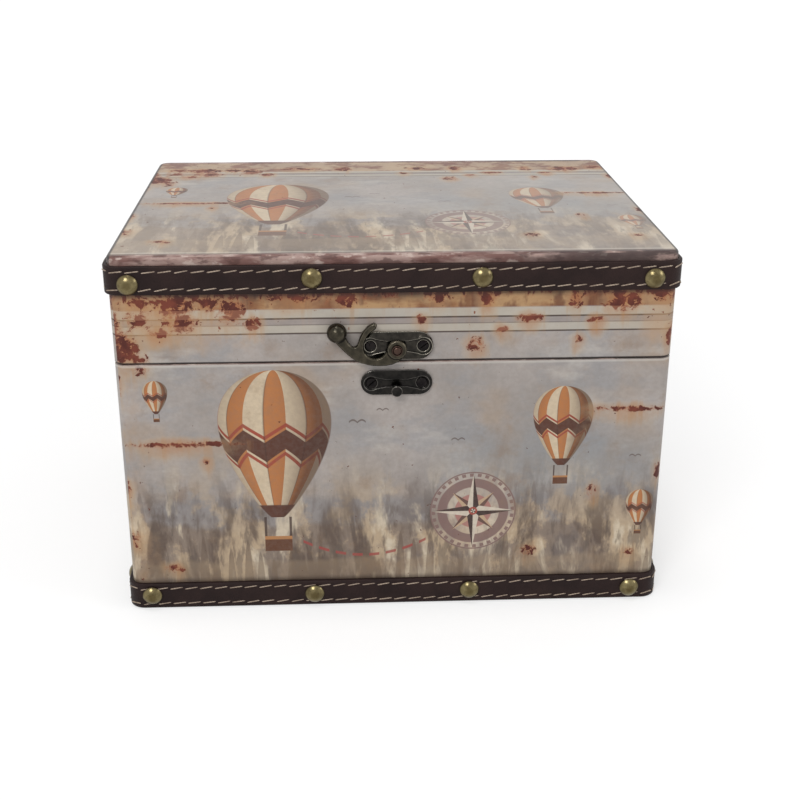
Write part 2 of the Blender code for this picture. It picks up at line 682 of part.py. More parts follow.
def make_rivet(targets, materials, lid):
    """Rivet through the hook's hub and the latch plate, with its bore in both."""
    seat = HOOK_BACK + HUB_HEIGHT + CLEARANCE
    crown = dome_profile(RIVET_HEAD_RADIUS, 0, RIVET_HEAD_HEIGHT)[:-1]
    head = [(radius, seat + rise) for radius, rise in crown]
    shank = [(RIVET_RADIUS, seat), (RIVET_RADIUS, CLEARANCE), (0, CLEARANCE)]
    mesh = lathe_mesh("latch_rivet", head + shank, SCREW_STEPS, materials["dark_bronze"])
    place("latch_rivet", mesh, lid, HOOK_PIVOT, FRONT)
    radius = RIVET_RADIUS + CLEARANCE
    bore = lathe_mesh("rivet_bore", [(0, seat), (radius, seat), (radius, 0), (0, 0)], SCREW_STEPS)
    cutter = hide_tool(place(bore.name, bore, None, HOOK_PIVOT, FRONT))
    for target in targets:
        apply_tool(target, cutter)


def leaf_outline():
    """Section of a leaf below its pin: a strip on the box that curls round the pin."""
    face = HINGE_LEAF_THICKNESS - KNUCKLE_RADIUS
    start = -math.acos(face / KNUCKLE_RADIUS)
    end = math.pi
    curl = []
    for step in range(KNUCKLE_STEPS + 1):
        angle = start + (end - start) * step / KNUCKLE_STEPS
        curl.append((KNUCKLE_RADIUS * math.cos(angle), KNUCKLE_RADIUS * math.sin(angle)))
    return [(face, -HINGE_LEAF_HEIGHT)] + curl + [(-KNUCKLE_RADIUS, -HINGE_LEAF_HEIGHT)]


def leaf_mesh(name, upward, material):
    """A leaf along local X, its pin on the X axis. Section X becomes Y, and section Y becomes Z."""
    bm = bmesh.new()
    add_prism(bm, leaf_outline(), -HINGE_LENGTH / 2, HINGE_LENGTH / 2)
    turn = Matrix(((0, 0, 1), (1, 0, 0), (0, 1, 0))).to_4x4()
    bmesh.ops.transform(bm, matrix=turn, verts=bm.verts[:])
    if upward:
        bmesh.ops.scale(bm, vec=(1, 1, -1), verts=bm.verts[:])
    return make_mesh(name, bm, material)


def knuckle_slots(label, at, middle_open):
    """Cutters that clear a leaf for the other leaf's knuckles."""
    half_middle = HINGE_LENGTH * MIDDLE_KNUCKLE_SHARE / 2
    reach = KNUCKLE_RADIUS + KNUCKLE_GAP
    if middle_open:
        spans = [(-half_middle - KNUCKLE_GAP / 2, half_middle + KNUCKLE_GAP / 2)]
    else:
        outer = HINGE_LENGTH / 2 + OVERRUN
        inner = half_middle - KNUCKLE_GAP / 2
        spans = [(-outer, -inner), (inner, outer)]
    cutters = []
    for number, (start, end) in enumerate(spans, 1):
        name = f"{label}_slot_{number}"
        mesh = block(name, Vector((start, -reach, -reach)), Vector((end, reach, reach)))
        cutters.append(hide_tool(place(name, mesh, None, at)))
    return cutters


def pin_mesh(name, radius, half_length, material=None, tips=False):
    """A pin along local X, with round tips where it is a hinge's own pin."""
    profile = [(0, -half_length), (radius, -half_length), (radius, half_length), (0, half_length)]
    if tips:
        seat = half_length + CLEARANCE
        end = seat + PIN_TIP_LENGTH
        tip = [(radius, seat), (PIN_TIP_RADIUS, seat)]
        tip += [(PIN_TIP_RADIUS, (seat + end) / 2), (radius, end), (0, end)]
        profile = [(r, -x) for r, x in reversed(tip)] + tip
    bm = bmesh.new()
    add_lathe(bm, profile, SCREW_STEPS)
    bmesh.ops.rotate(bm, matrix=Matrix.Rotation(math.pi / 2, 3, "Y"), verts=bm.verts[:])
    return make_mesh(name, bm, material)


def make_hinge(label, x, covers, back_walls, materials, lid):
    """One butt hinge on the back: two leaves, three knuckles, a pin and four screws."""
    at = HINGE_AXIS + Vector((x, 0, 0))
    bore = pin_mesh(f"{label}_bore", PIN_RADIUS + CLEARANCE, HINGE_LENGTH / 2 + OVERRUN)
    bore_cutter = hide_tool(place(f"{label}_bore", bore, None, at))
    leaves = (("base", False, True, None), ("lid", True, False, lid))
    for owner, upward, middle_open, carrier in leaves:
        name = f"{owner}_hinge_leaf_{label}"
        leaf = place(name, leaf_mesh(name, upward, materials["dark_bronze"]), carrier, at)
        for cutter in [bore_cutter] + knuckle_slots(name, at, middle_open):
            apply_tool(leaf, cutter)
        drop = HINGE_LEAF_HEIGHT * HINGE_SCREW_SHARE
        height = SEAM_HEIGHT + (drop if upward else -drop)
        places = (-x + HINGE_SCREW_SPACING / 2, -x - HINGE_SCREW_SPACING / 2)
        points = [side_point(BACK, along, LEAF_FACE, height) for along in places]
        names = [f"{owner}_hinge_screw_{label}_{number}" for number in (1, 2)]
        add_screws(names, BACK, points, [leaf, covers[owner], back_walls[owner]], materials, carrier)
    pin = pin_mesh(f"hinge_pin_{label}", PIN_RADIUS, HINGE_LENGTH / 2, materials["dark_bronze"], tips=True)
    place(f"hinge_pin_{label}", pin, None, at)


def latch_screw_points(spacing, proud, height):
    return [side_point(FRONT, LATCH_X + shift * spacing / 2, proud, height) for shift in (-1, 1)]


def build():
    clear_scene()
    materials = make_materials()
    lid = add_carrier("lid_axis", HINGE_AXIS)
    hook = add_carrier("hook_axis", HOOK_PIVOT, lid)

    base_walls = make_walls("base", FLOOR_BOTTOM, BASE_TOP - WALL_OUTER_INSET, materials)
    under_top = TOP_BOARD_BOTTOM - CLEARANCE
    lid_walls = make_walls("lid", LID_BOTTOM + WALL_OUTER_INSET, under_top, materials, lid)
    make_floor_board(materials)
    make_foot_sheet(materials)
    make_top_board(materials, lid)
    covers = {"base": make_base_cover(materials), "lid": make_lid_cover(materials, lid)}
    make_lining("base_lining", BASE_TOP, FLOOR_TOP + CLEARANCE, materials)
    make_lining("lid_lining", LID_BOTTOM, under_top, materials, lid)

    sides = (LEFT, RIGHT, FRONT, BACK)
    base_strap = make_strap("base_strap", BASE_STRAP_BOTTOM, materials)
    lid_strap = make_strap("lid_strap", LID_STRAP_BOTTOM, materials, lid)
    base_parts = {"strap": base_strap, "cover": covers["base"], "walls": dict(zip(sides, base_walls))}
    lid_parts = {"strap": lid_strap, "cover": covers["lid"], "walls": dict(zip(sides, lid_walls))}
    add_nails("base", BASE_FRONT_NAIL_SHARES, BASE_STRAP_BOTTOM, base_parts, materials)
    add_nails("lid", LID_FRONT_NAIL_SHARES, LID_STRAP_BOTTOM, lid_parts, materials, lid)

    plate = make_latch_plate(materials, lid)
    swing_hook = make_hook(materials, hook)
    make_rivet([plate, swing_hook], materials, lid)
    catch = make_catch_plate(materials)
    points = latch_screw_points(LATCH_SCREW_SPACING, LATCH_FACE - PANEL_DEPTH, LATCH_PLATE_MIDDLE)
    targets = [plate, covers["lid"], lid_parts["walls"][FRONT]]
    add_screws(["latch_screw_left", "latch_screw_right"], FRONT, points, targets, materials, lid)
    points = latch_screw_points(CATCH_SCREW_SPACING, CATCH_FACE - PANEL_DEPTH, CATCH_PLATE_MIDDLE)
    targets = [catch, covers["base"], base_parts["walls"][FRONT]]
    add_screws(["catch_screw_left", "catch_screw_right"], FRONT, points, targets, materials)

    back_walls = {"base": base_parts["walls"][BACK], "lid": lid_parts["walls"][BACK]}
    hinge_x = BOX_WIDTH / 2 - HINGE_FROM_CORNER
    for label, x in (("left", -hinge_x), ("right", hinge_x)):
        make_hinge(label, x, covers, back_walls, materials, lid)


build()
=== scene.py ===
"""Looks of a keepsake box: a printed wrap, stitched straps, dome nails and a swing-hook latch.

Metres, +Z up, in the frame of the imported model: X runs along the front to the right, Y to the
back, and the box stands on Z = 0. A value that ends in share or shares is a fraction of the
size that its comment names. Colours are written as the levels from 0 to 255 that they show.
"""

import json
import math
import random

import bmesh
import bpy
from mathutils import Matrix, Vector


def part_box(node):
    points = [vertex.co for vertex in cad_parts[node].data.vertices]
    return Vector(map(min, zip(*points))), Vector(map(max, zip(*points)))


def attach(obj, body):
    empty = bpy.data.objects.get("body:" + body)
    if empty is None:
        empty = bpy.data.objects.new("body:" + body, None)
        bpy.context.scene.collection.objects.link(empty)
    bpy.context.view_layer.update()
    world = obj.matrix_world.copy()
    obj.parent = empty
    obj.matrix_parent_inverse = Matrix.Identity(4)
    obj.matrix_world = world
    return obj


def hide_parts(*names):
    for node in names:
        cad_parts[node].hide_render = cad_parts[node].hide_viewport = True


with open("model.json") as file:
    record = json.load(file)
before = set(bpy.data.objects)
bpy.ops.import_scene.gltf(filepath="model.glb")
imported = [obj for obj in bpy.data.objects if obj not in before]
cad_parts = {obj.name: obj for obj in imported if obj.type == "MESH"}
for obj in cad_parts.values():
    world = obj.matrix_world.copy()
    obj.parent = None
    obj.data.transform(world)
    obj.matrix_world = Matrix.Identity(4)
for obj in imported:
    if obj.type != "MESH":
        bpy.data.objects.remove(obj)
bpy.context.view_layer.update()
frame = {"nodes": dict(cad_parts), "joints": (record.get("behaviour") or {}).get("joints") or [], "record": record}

# Camera, fitted to the box's straight edges in the photograph
CAMERA_PLACE = (-0.02541, -0.66105, 0.33842)
CAMERA_TURN = (math.radians(67.74), math.radians(-0.17), math.radians(-2.75))
CAMERA_LENS = 57.94

# Turn about Z that takes the front to each side
FRONT, RIGHT, BACK, LEFT = 0, math.pi / 2, math.pi, -math.pi / 2
SIDES = {"front": FRONT, "right": RIGHT, "back": BACK, "left": LEFT}

# The wrapped box
LID_LOW, LID_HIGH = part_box("lid_cover")
BASE_LOW, BASE_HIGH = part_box("base_cover")
HALF_WIDTH, HALF_DEPTH, BOX_TOP = LID_HIGH
CORNER_RADIUS = 0.006
TOP_EDGE_RADIUS = 0.002
RIM_EDGE_RADIUS = 0.0004
COVER_THICKNESS = 0.0008
RIM_INSET = 0.0081
CORNER_STEPS = 12
EDGE_STEPS = 6
CLEARANCE = 0.0003

# Felt
LINING_OUTER_INSET = 0.0084
LINING_INNER_INSET = 0.0092
LINING_THICKNESS = 0.0008
LINING_CORNER_RADIUS = 0.001
LINING_ROLL = 0.0003

# Straps and their two rows of stitches, as heights from the strap's middle
STRAPS = {owner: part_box(owner + "_strap") for owner in ("base", "lid")}
STRAP_PROUD = STRAPS["lid"][1].x - HALF_WIDTH
STRAP_EDGE_RADIUS = 0.0006
STRAP_EDGE_STEPS = 3
STRAP_JOINT_GAP = 0.0006
STITCH_ROWS = (-0.00415, 0.00415)
GROOVE_HALF_WIDTH = 0.0008
GROOVE_DEPTH = 0.00022
STITCH_PITCH = 0.0073
STITCH_LENGTH = 0.0065
STITCH_RADIUS = 0.00031
STITCH_TILT = math.radians(9)
STITCH_WANDER = 0.00012
STITCH_STEPS = 6

# Section of a stitch groove: places across as shares of its half width, depths as shares of its depth
GROOVE_SHARES = ((-1, 0), (-0.5, 0.7), (0, 1), (0.5, 0.7), (1, 0))

# Dome nails. Those on the back stand at shares of the back wall's half length
NAIL_RADIUS = 0.00475
NAIL_HEIGHT = 0.0026
NAIL_RIM_HEIGHT = 0.00035
NAIL_UNDERSIDE_SHARE = 0.985
NAIL_STEPS = 40
NAIL_DOME_STEPS = 9
NAIL_TILT = math.radians(2.0)
BACK_NAIL_SHARES = (-0.97, -0.33, 0.32, 0.98)

# Latch: its plates, with a ridge round a sunk panel, as distances out of the wrap
PIVOT = Vector(next(joint for joint in frame["joints"] if joint["name"] == "hook_swing")["pos_m"])
LATCH_THICKNESS = 0.0020
CATCH_THICKNESS = 0.0017
PLATE_EDGE_HEIGHT = 0.0008
PLATE_BORDER = 0.0024
PANEL_DEPTH = 0.0005
PANEL_EASE = 0.0003
PANEL_WAIST_DROP = 0.0016
LOBE_TURN_SHARE = 0.68
WAIST_START_SHARE = 0.42
LOBE_STEPS = 14
COUNTERSINK_RADIUS = 0.0027
COUNTERSINK_DEPTH = 0.0012
CAST_VOXEL = 0.00015
CAST_SMOOTHING = 3

# Stud, hook and rivet. The ball's place is a share of the hook's reach
STUD_NECK_RADIUS = 0.0015
STUD_HEAD_RADIUS = 0.0027
STUD_HEAD_BACK = 0.0049
STUD_HEAD_THICKNESS = 0.0011
HOOK_REACH = 0.0202
BALL_SHARES = (-1.362, 0.404)
BALL_RADIUS = 0.0047
BALL_BACK = 0.0025
BALL_FLAT = 0.0008
BALL_STEPS = 32
HUB_RADIUS = 0.0046
HUB_ROOT = 0.0036
HUB_TOP = 0.0054
HUB_EASE = 0.0006
RIVET_SEAT = 0.0057
RIVET_COLLAR_RADIUS = 0.0026
RIVET_COLLAR_HEIGHT = 0.0008
RIVET_GROOVE_RADIUS = 0.0019
RIVET_GROOVE_HEIGHT = 0.0003
RIVET_DOME_HEIGHT = 0.0012
RIVET_SHANK_RADIUS = 0.0015
RIVET_STEPS = 36

# Slotted screws
SCREW_HEAD_RADIUS = 0.0024
SCREW_HEAD_DEPTH = 0.0012
SCREW_CROWN = 0.0003
SCREW_SHANK_RADIUS = 0.0009
SCREW_TIP_LENGTH = 0.0018
SLOT_WIDTH = 0.0006
SLOT_DEPTH = 0.0006
SCREW_STEPS = 28

# Hinges
LEAF_EASE = 0.00016
PIN_RADIUS = 0.0009
PIN_HEAD_RADIUS = 0.0015
PIN_HEAD_LENGTH = 0.0010

SHARP_ANGLE = math.radians(35)
MERGE_DISTANCE = 0.00002
PRINT_MAP = "print"

# Relief of the castings: how far a surface stands out of its smoothed self, in thousandths
RELIEF_MAP = "relief"
RELIEF_STEPS = 14
THOUSANDTHS = 1000
HOLLOW_FADE = (-0.010, -0.045)
RIDGE_FADE = (0.018, 0.060)

# Depths of the fine bumps of each finish
WRAP_GRAIN_DEPTH = 0.00003
WRAP_WEAVE_DEPTH = 0.00005
PORE_DEPTH = 0.00005
WRINKLE_DEPTH = 0.00006
THREAD_DEPTH = 0.00008
PIT_DEPTH = 0.00002
BRASS_DENT_DEPTH = 0.00008
BRONZE_DENT_DEPTH = 0.00006
FIBRE_DEPTH = 0.00012
FELT_MAT_DEPTH = 0.00035
FELT_CLOUD_DEPTH = 0.0002

rng = random.Random(7)


def tone(red, green, blue):
    """A colour in linear light from the levels that it shows."""
    levels = [value / 255 for value in (red, green, blue)]
    return tuple(c / 12.92 if c <= 0.04045 else ((c + 0.055) / 1.055) ** 2.4 for c in levels)


def operation(name, swapped=False):
    """A method that adds a Math node for a wire and then its operands, or the other way round."""
    def act(self, *operands):
        return self.math(name, *((*operands, self) if swapped else (self, *operands)))
    return act


class Wire:
    """A value in a material's nodes. A sum of wires adds its Math nodes."""

    def __init__(self, tree, socket=None):
        self.tree = tree
        self.socket = socket

    def node(self, kind, settings=None, inputs=None, output=0):
        """Adds a node: its settings, then what its sockets take."""
        made = self.tree.nodes.new("ShaderNode" + kind)
        for name, value in (settings or {}).items():
            setattr(made, name, value)
        for name, value in (inputs or {}).items():
            self.plug(made.inputs[name], value)
        return Wire(self.tree, made.outputs[output])

    def plug(self, socket, value):
        if isinstance(value, Wire):
            self.tree.links.new(value.socket, socket)
        elif isinstance(value, tuple) and socket.type == "RGBA":
            socket.default_value = (*value, 1)
        else:
            socket.default_value = value

    def math(self, name, *values):
        return self.node("Math", {"operation": name}, dict(enumerate(values)))

    __add__ = __radd__ = operation("ADD")
    __sub__ = operation("SUBTRACT")
    __rsub__ = operation("SUBTRACT", swapped=True)
    __mul__ = __rmul__ = operation("MULTIPLY")
    __truediv__ = operation("DIVIDE")
    __pow__ = operation("POWER")
    __abs__ = operation("ABSOLUTE")
    most = operation("MAXIMUM")
    least = operation("MINIMUM")

    # 1 where the value is past an edge, 0 elsewhere
    over = operation("GREATER_THAN")

    def fade(self, start, end):
        """Goes smoothly from 0 at start to 1 at end."""
        span = {"From Min": start, "From Max": end}
        return self.node("MapRange", {"interpolation_type": "SMOOTHSTEP"}, {"Value": self, **span})

    def near(self, middle, far, close):
        """1 within a close distance of a middle, and 0 past a far one."""
        return abs(self - middle).fade(far, close)

    def mix(self, colour, other):
        """A colour where the value is 0, and the other where it is 1."""
        settings = {"data_type": "RGBA", "clamp_factor": True}
        return self.node("Mix", settings, {0: self, 6: colour, 7: other}, 2)

    def coat(self, colour, share, levels):
        """A colour with a tint over it where the value is high, as strong as a share."""
        return (self * share).mix(colour, tone(*levels))

    def noise(self, scale, detail=2.0, roughness=0.5, distortion=0.0):
        """Noise at the place that this wire holds."""
        values = {"Scale": scale, "Detail": detail, "Roughness": roughness, "Distortion": distortion}
        return self.node("TexNoise", {}, {"Vector": self, **values})

    def stretch(self, x, y, z=1.0):
        """A place, drawn out by a factor on each axis."""
        return self.node("VectorMath", {"operation": "MULTIPLY"}, {0: self, 1: (x, y, z)})

    def shift(self, x, y, z=0.0):
        return self.node("VectorMath", {"operation": "ADD"}, {0: self, 1: (x, y, z)})

    def split(self):
        return [self.node("SeparateXYZ", {}, {0: self}, index) for index in range(3)]


def new_material(name):
    """A material, a wire to start its nodes from, and a place in metres."""
    material = bpy.data.materials.new(name)
    material.use_nodes = True
    start = Wire(material.node_tree)
    return material, start, start.node("TexCoord", output=3)


def dress(material, colour, roughness, bumps=(), metallic=0.0, specular=0.5, sheen=0.0):
    """Connects a finish to the material's shader. Bumps are heights and their depths in metres."""
    tree = material.node_tree
    shader = tree.nodes["Principled BSDF"]
    start = Wire(tree)
    start.plug(shader.inputs["Base Color"], colour)
    start.plug(shader.inputs["Roughness"], roughness)
    shader.inputs["Metallic"].default_value = metallic
    shader.inputs["Specular IOR Level"].default_value = specular
    shader.inputs["Sheen Weight"].default_value = sheen
    normal = None
    for height, depth in bumps:
        values = {"Height": height, "Distance": depth, "Strength": 1.0}
        if normal:
            values["Normal"] = normal
        normal = start.node("Bump", {}, values)
    if normal:
        start.plug(shader.inputs["Normal"], normal)
    return material


# Printed wrap. Places are metres along the sides, from the middle of the front, and heights.
# A fade goes from 0 at its first place to 1 at its second. A spot is a middle, then the far and
# the close distance from it
PICTURE_LENGTH = 2 * (HALF_WIDTH + HALF_DEPTH) - 4 * CORNER_RADIUS + math.pi * CORNER_RADIUS
PICTURE_START = -HALF_WIDTH + CORNER_RADIUS - math.pi * CORNER_RADIUS / 4
BLUE_CLOUD_FADE = (0.030, 0.070)
HAZE_ALONG_SPOT = (0.075, 0.075, 0.030)
HAZE_HEIGHT_SPOT = (0.074, 0.030, 0.006)
GROUND_FADE = (0.080, 0.015)
BRUSHWORK_FADE = (0.088, 0.032)
SIDE_FADE = (0.1785, 0.1770)

# Painted sheen: the top is painted paler than the sides, most to the right and low at the left
TOP_SHEEN_FADE = (-0.020, 0.080)
SHEEN_ALONG_FADE = (-0.060, -0.115)
SHEEN_HEIGHT_FADE = (0.085, 0.030)

# Ridges of hills: place in the noise, height, swell, scale of the noise, softness, share and levels
FAR_RIDGE = (0.0, 0.062, 0.030, 13, 0.006, 0.70, (128, 125, 126))
NEAR_RIDGE = (0.4, 0.046, 0.022, 20, 0.004, 0.70, (122, 104, 88))
LOW_RIDGE = (0.8, 0.026, 0.012, 34, 0.003, 0.35, (150, 130, 106))

# Rows of poplars: cell, ground, tallest, share and levels. The near row is moved along
FAR_POPLARS = (0.0100, 0.030, 0.040, 0.55, (110, 100, 94))
NEAR_POPLARS = (0.0074, 0.016, 0.026, 0.60, (94, 78, 66))
NEAR_POPLARS_SHIFT = 3.0

# Balloons from left to right: middle, height and half height, each in its own strip
BALLOONS = (
    (-0.1120, 0.1120, 0.0085),
    (-0.0570, 0.0860, 0.0390),
    (0.0800, 0.0940, 0.0210),
    (0.1200, 0.0500, 0.0100),
    (0.1980, 0.0840, 0.0350),
    (0.2620, 0.1080, 0.0140),
    (0.3060, 0.0740, 0.0200),
)
BALLOON_STRIPS = (-0.1010, -0.0050, 0.1050, 0.1550, 0.2420, 0.2800)
COMPASSES = ((0.0380, 0.0500, 0.0210), (0.2560, 0.0520, 0.0200))
COMPASS_STRIP = 0.1500
COMPASS_TICKS = 32

# Trail: where its curve is lowest, how it bends up, its dashes and the edges of its line
TRAIL_MIDDLE = -0.0150
TRAIL_LOWEST = 0.0270
TRAIL_BEND = 9.0
TRAIL_HALF_LENGTH = 0.0300
TRAIL_DASH = 0.0082
TRAIL_EDGES = (0.0009, 0.0006)

# Gulls: middle, height and span
BIRDS = ((-0.018, 0.098, 0.0042), (-0.006, 0.104, 0.0030), (0.030, 0.088, 0.0034), (0.116, 0.078, 0.0030))

# Rust on the picture: middle, height, half width, half height and strength
RUST_PATCHES = (
    (-0.1000, 0.1565, 0.0080, 0.0050, 1.15),
    (-0.0980, 0.1490, 0.0070, 0.0045, 1.10),
    (-0.0850, 0.1575, 0.0050, 0.0035, 0.95),
    (-0.0750, 0.1545, 0.0060, 0.0060, 1.10),
    (-0.1250, 0.1365, 0.0060, 0.0080, 1.20),
    (-0.1170, 0.1500, 0.0060, 0.0045, 0.80),
    (-0.1160, 0.1585, 0.0055, 0.0028, 0.95),
    (-0.1080, 0.1438, 0.0050, 0.0020, 0.95),
    (-0.0660, 0.1480, 0.0040, 0.0030, 0.95),
    (-0.1290, 0.1480, 0.0030, 0.0055, 1.10),
    (-0.1180, 0.1290, 0.0045, 0.0050, 0.85),
    (-0.1300, 0.1170, 0.0022, 0.0080, 1.00),
    (-0.0470, 0.1605, 0.0120, 0.0028, 0.95),
    (-0.0220, 0.1590, 0.0045, 0.0045, 0.95),
    (0.0200, 0.1605, 0.0060, 0.0030, 0.95),
    (0.0420, 0.1595, 0.0035, 0.0045, 1.00),
    (0.0620, 0.1488, 0.0060, 0.0022, 1.00),
    (0.0830, 0.1580, 0.0030, 0.0040, 0.95),
    (0.1050, 0.1570, 0.0085, 0.0045, 1.12),
    (0.1240, 0.1600, 0.0060, 0.0035, 1.00),
    (0.0370, 0.1365, 0.0040, 0.0032, 1.00),
    (0.0120, 0.1490, 0.0022, 0.0024, 0.98),
    (0.0500, 0.1438, 0.0034, 0.0015, 0.95),
    (0.0930, 0.1478, 0.0040, 0.0016, 1.00),
    (0.0850, 0.1385, 0.0022, 0.0018, 0.95),
    (0.1285, 0.1400, 0.0020, 0.0050, 0.98),
    (-0.1030, 0.0880, 0.0270, 0.0015, 0.95),
    (-0.0900, 0.0790, 0.0018, 0.0014, 0.95),
    (0.1110, 0.1030, 0.0190, 0.0014, 0.95),
    (-0.1080, 0.0215, 0.0045, 0.0022, 0.85),
    (0.0960, 0.0600, 0.0025, 0.0030, 0.95),
    (0.0660, 0.0280, 0.0040, 0.0030, 0.85),
    (0.1160, 0.0260, 0.0030, 0.0024, 0.85),
    (-0.1290, 0.0640, 0.0022, 0.0050, 0.92),
    (-0.1265, 0.0380, 0.0026, 0.0040, 0.90),
    (0.1280, 0.0700, 0.0022, 0.0045, 0.92),
    (0.1700, 0.1545, 0.0120, 0.0070, 1.05),
    (0.2000, 0.1600, 0.0060, 0.0030, 0.95),
    (0.2450, 0.1490, 0.0080, 0.0090, 1.05),
    (0.3150, 0.1570, 0.0120, 0.0050, 1.10),
    (0.2900, 0.0930, 0.0240, 0.0015, 0.95),
    (0.1650, 0.0320, 0.0050, 0.0030, 0.85),
)

# How far a stain spreads past its patch, and how far it runs down
STAIN_REACH = 0.0022
STAIN_RUN = 0.0040

# Where rust gathers: both ends of the lid's front, a column down the left edge, and under the strap
LEFT_END_FADES = ((-0.040, -0.110), (0.128, 0.146))
LEFT_COLUMN_FADES = ((-0.112, -0.126), (0.150, 0.110))
RIGHT_END_FADES = ((0.104, 0.120), (0.130, 0.146))
RIGHT_END_STOP_FADE = (0.142, 0.132)
DRIP_FADE = (0.138, 0.158)
DOT_FADE = (0.140, 0.150)
FADED_RUST_FADE = (0.152, 0.160)
FRINGE_FADE = (0.1558, 0.1640)

# Weathered boards, by height: dark lines, pale boards and a grey one, each a middle with its half
# height and strength, the lower edge of the stained board, and the soot on it, which is partly
# painted shade under the lid's strap
BOARD_LINES = ((0.1500, 0.00052, 0.90), (0.1469, 0.00034, 0.45), (0.1428, 0.00050, 0.88))
BOARD_LINE_WOBBLE = 0.0006
PALE_BOARDS = ((0.1522, 0.0020), (0.1449, 0.0018))
GREY_BOARD = (0.1485, 0.0014)
STAINED_BOARD_FADE = (0.1539, 0.1551)
SOOT_AND_SHADE_FADE = (0.1560, 0.1625)

# Edges: bands along the top's back and front with two rules by the front one, a dark outline of the
# top, painted shadow under the lid's strap, dirt and painted shade above the base's, and painted shade
# in the seam with a painted highlight below it
BACK_BAND_FADE = (0.1745, 0.1760)
FRONT_BAND_FADE = (0.0030, 0.0024)
DARK_BAND_FADE = (0.030, 0.095)
PALE_RULE_SPOT = (0.0048, 0.0012, 0.0004)
DARK_RULE_SPOT = (0.0033, 0.0006, 0.0002)
OUTLINE_FADE = (CORNER_RADIUS - 0.0026, CORNER_RADIUS - 0.0016)
OUTLINE_HEIGHT_FADE = (0.1775, 0.1787)
STRAP_SHADOW_FADE = (0.1590, 0.1620)
BEHIND_STRAP_FADE = (0.1680, 0.1670)
DIRT_AND_SHADE_FADE = (STRAPS["base"][1].z + 0.0028, STRAPS["base"][1].z + 0.0002)
SEAM_SHADE_SPOT = (LID_LOW.z + 0.0003, 0.0005, 0.0003)
SEAM_HIGHLIGHT_SPOT = (BASE_HIGH.z - 0.0008, 0.0010, 0.0002)


def paint_sky(at, u, v):
    """Pale weathered paint with bluish and warm clouds."""
    cloud = at.noise(16, 5, 0.62)
    patch = at.shift(0.3, 0.7).stretch(1, 1.8).noise(22, 5, 0.62)
    warm = at.shift(0.9, 0.2).noise(30, 3, 0.5)
    pale = at.shift(0.5, 0.4).stretch(1, 2.6).noise(20, 4, 0.6)
    haze = v.near(*HAZE_HEIGHT_SPOT) * u.near(*HAZE_ALONG_SPOT)
    sky = cloud.fade(0.36, 0.64).mix(tone(146, 139, 134), tone(165, 157, 152))
    sky = (patch.fade(0.48, 0.62) * v.fade(*BLUE_CLOUD_FADE)).coat(sky, 0.45, (136, 138, 142))
    sky = warm.fade(0.50, 0.70).coat(sky, 0.6, (158, 138, 118))
    sky = pale.fade(0.54, 0.70).coat(sky, 0.6, (180, 173, 166))
    sky = haze.coat(sky, 0.55, (130, 134, 138))
    return v.fade(*GROUND_FADE).mix(sky, tone(138, 121, 104))


def paint_brushwork(colour, at, v):
    """Loose upright strokes and broad cream and grey washes, low in the picture."""
    strokes = at.stretch(1, 0.30).noise(52, 5, 0.62, 0.3)
    washes = at.shift(0.4, 0.6).stretch(1, 0.8).noise(30, 6, 0.64)
    fine = at.shift(0.1, 0.5).stretch(1, 0.22).noise(150, 4, 0.60)
    low = v.fade(*BRUSHWORK_FADE)
    for mask, share, levels in (
        (washes.fade(0.49, 0.57), 0.90, (178, 157, 130)),
        (washes.fade(0.47, 0.39), 0.80, (102, 92, 88)),
        (strokes.fade(0.50, 0.61), 0.90, (84, 69, 60)),
        (strokes.fade(0.49, 0.39), 0.95, (200, 186, 164)),
        (fine.fade(0.54, 0.61), 0.55, (84, 73, 66)),
    ):
        colour = (mask * low).coat(colour, share, levels)
    return colour


def paint_ridge(colour, at, v, place, height, swell, scale, soft, share, levels):
    """A hazy ridge of hills, clear along its crest and lost in mist below."""
    crest = at.shift(place, 0).stretch(1, 0, 0).noise(scale, 3, 0.55) * swell + (height - swell / 2)
    below = crest - v
    return (below.fade(0, soft) * below.fade(height * 0.9, soft)).coat(colour, share, levels)


def paint_poplars(colour, u, v, cell, ground, tallest, share, levels):
    """A row of narrow trees, one in each cell along the picture."""
    values = {"W": u, "Scale": 1 / cell, "Randomness": 0.8}
    settings = {"voronoi_dimensions": "1D"}
    away = u.node("TexVoronoi", settings, values, 0)
    chance = u.node("TexVoronoi", settings, values, 1).split()
    height = ground + chance[0] * tallest
    shape = height - away * away * (tallest * 9) - v
    mask = shape.fade(0, tallest * 0.10) * v.fade(ground * 0.3, ground) * chance[1].over(0.35)
    return mask.coat(colour, share, levels)


def chosen(u, strips, values):
    """The value of the strip that a place lies in."""
    picked = values[0]
    for edge, before, after in zip(strips, values, values[1:]):
        picked = u.over(edge) * (after - before) + picked
    return picked


def on_motif(u, v, strips, motifs):
    """Where a place lies from the middle of its strip's motif, as shares of the motif's half height."""
    middle, height, radius = (chosen(u, strips, values) for values in zip(*motifs))
    return (u - middle) / radius, (v - height) / radius


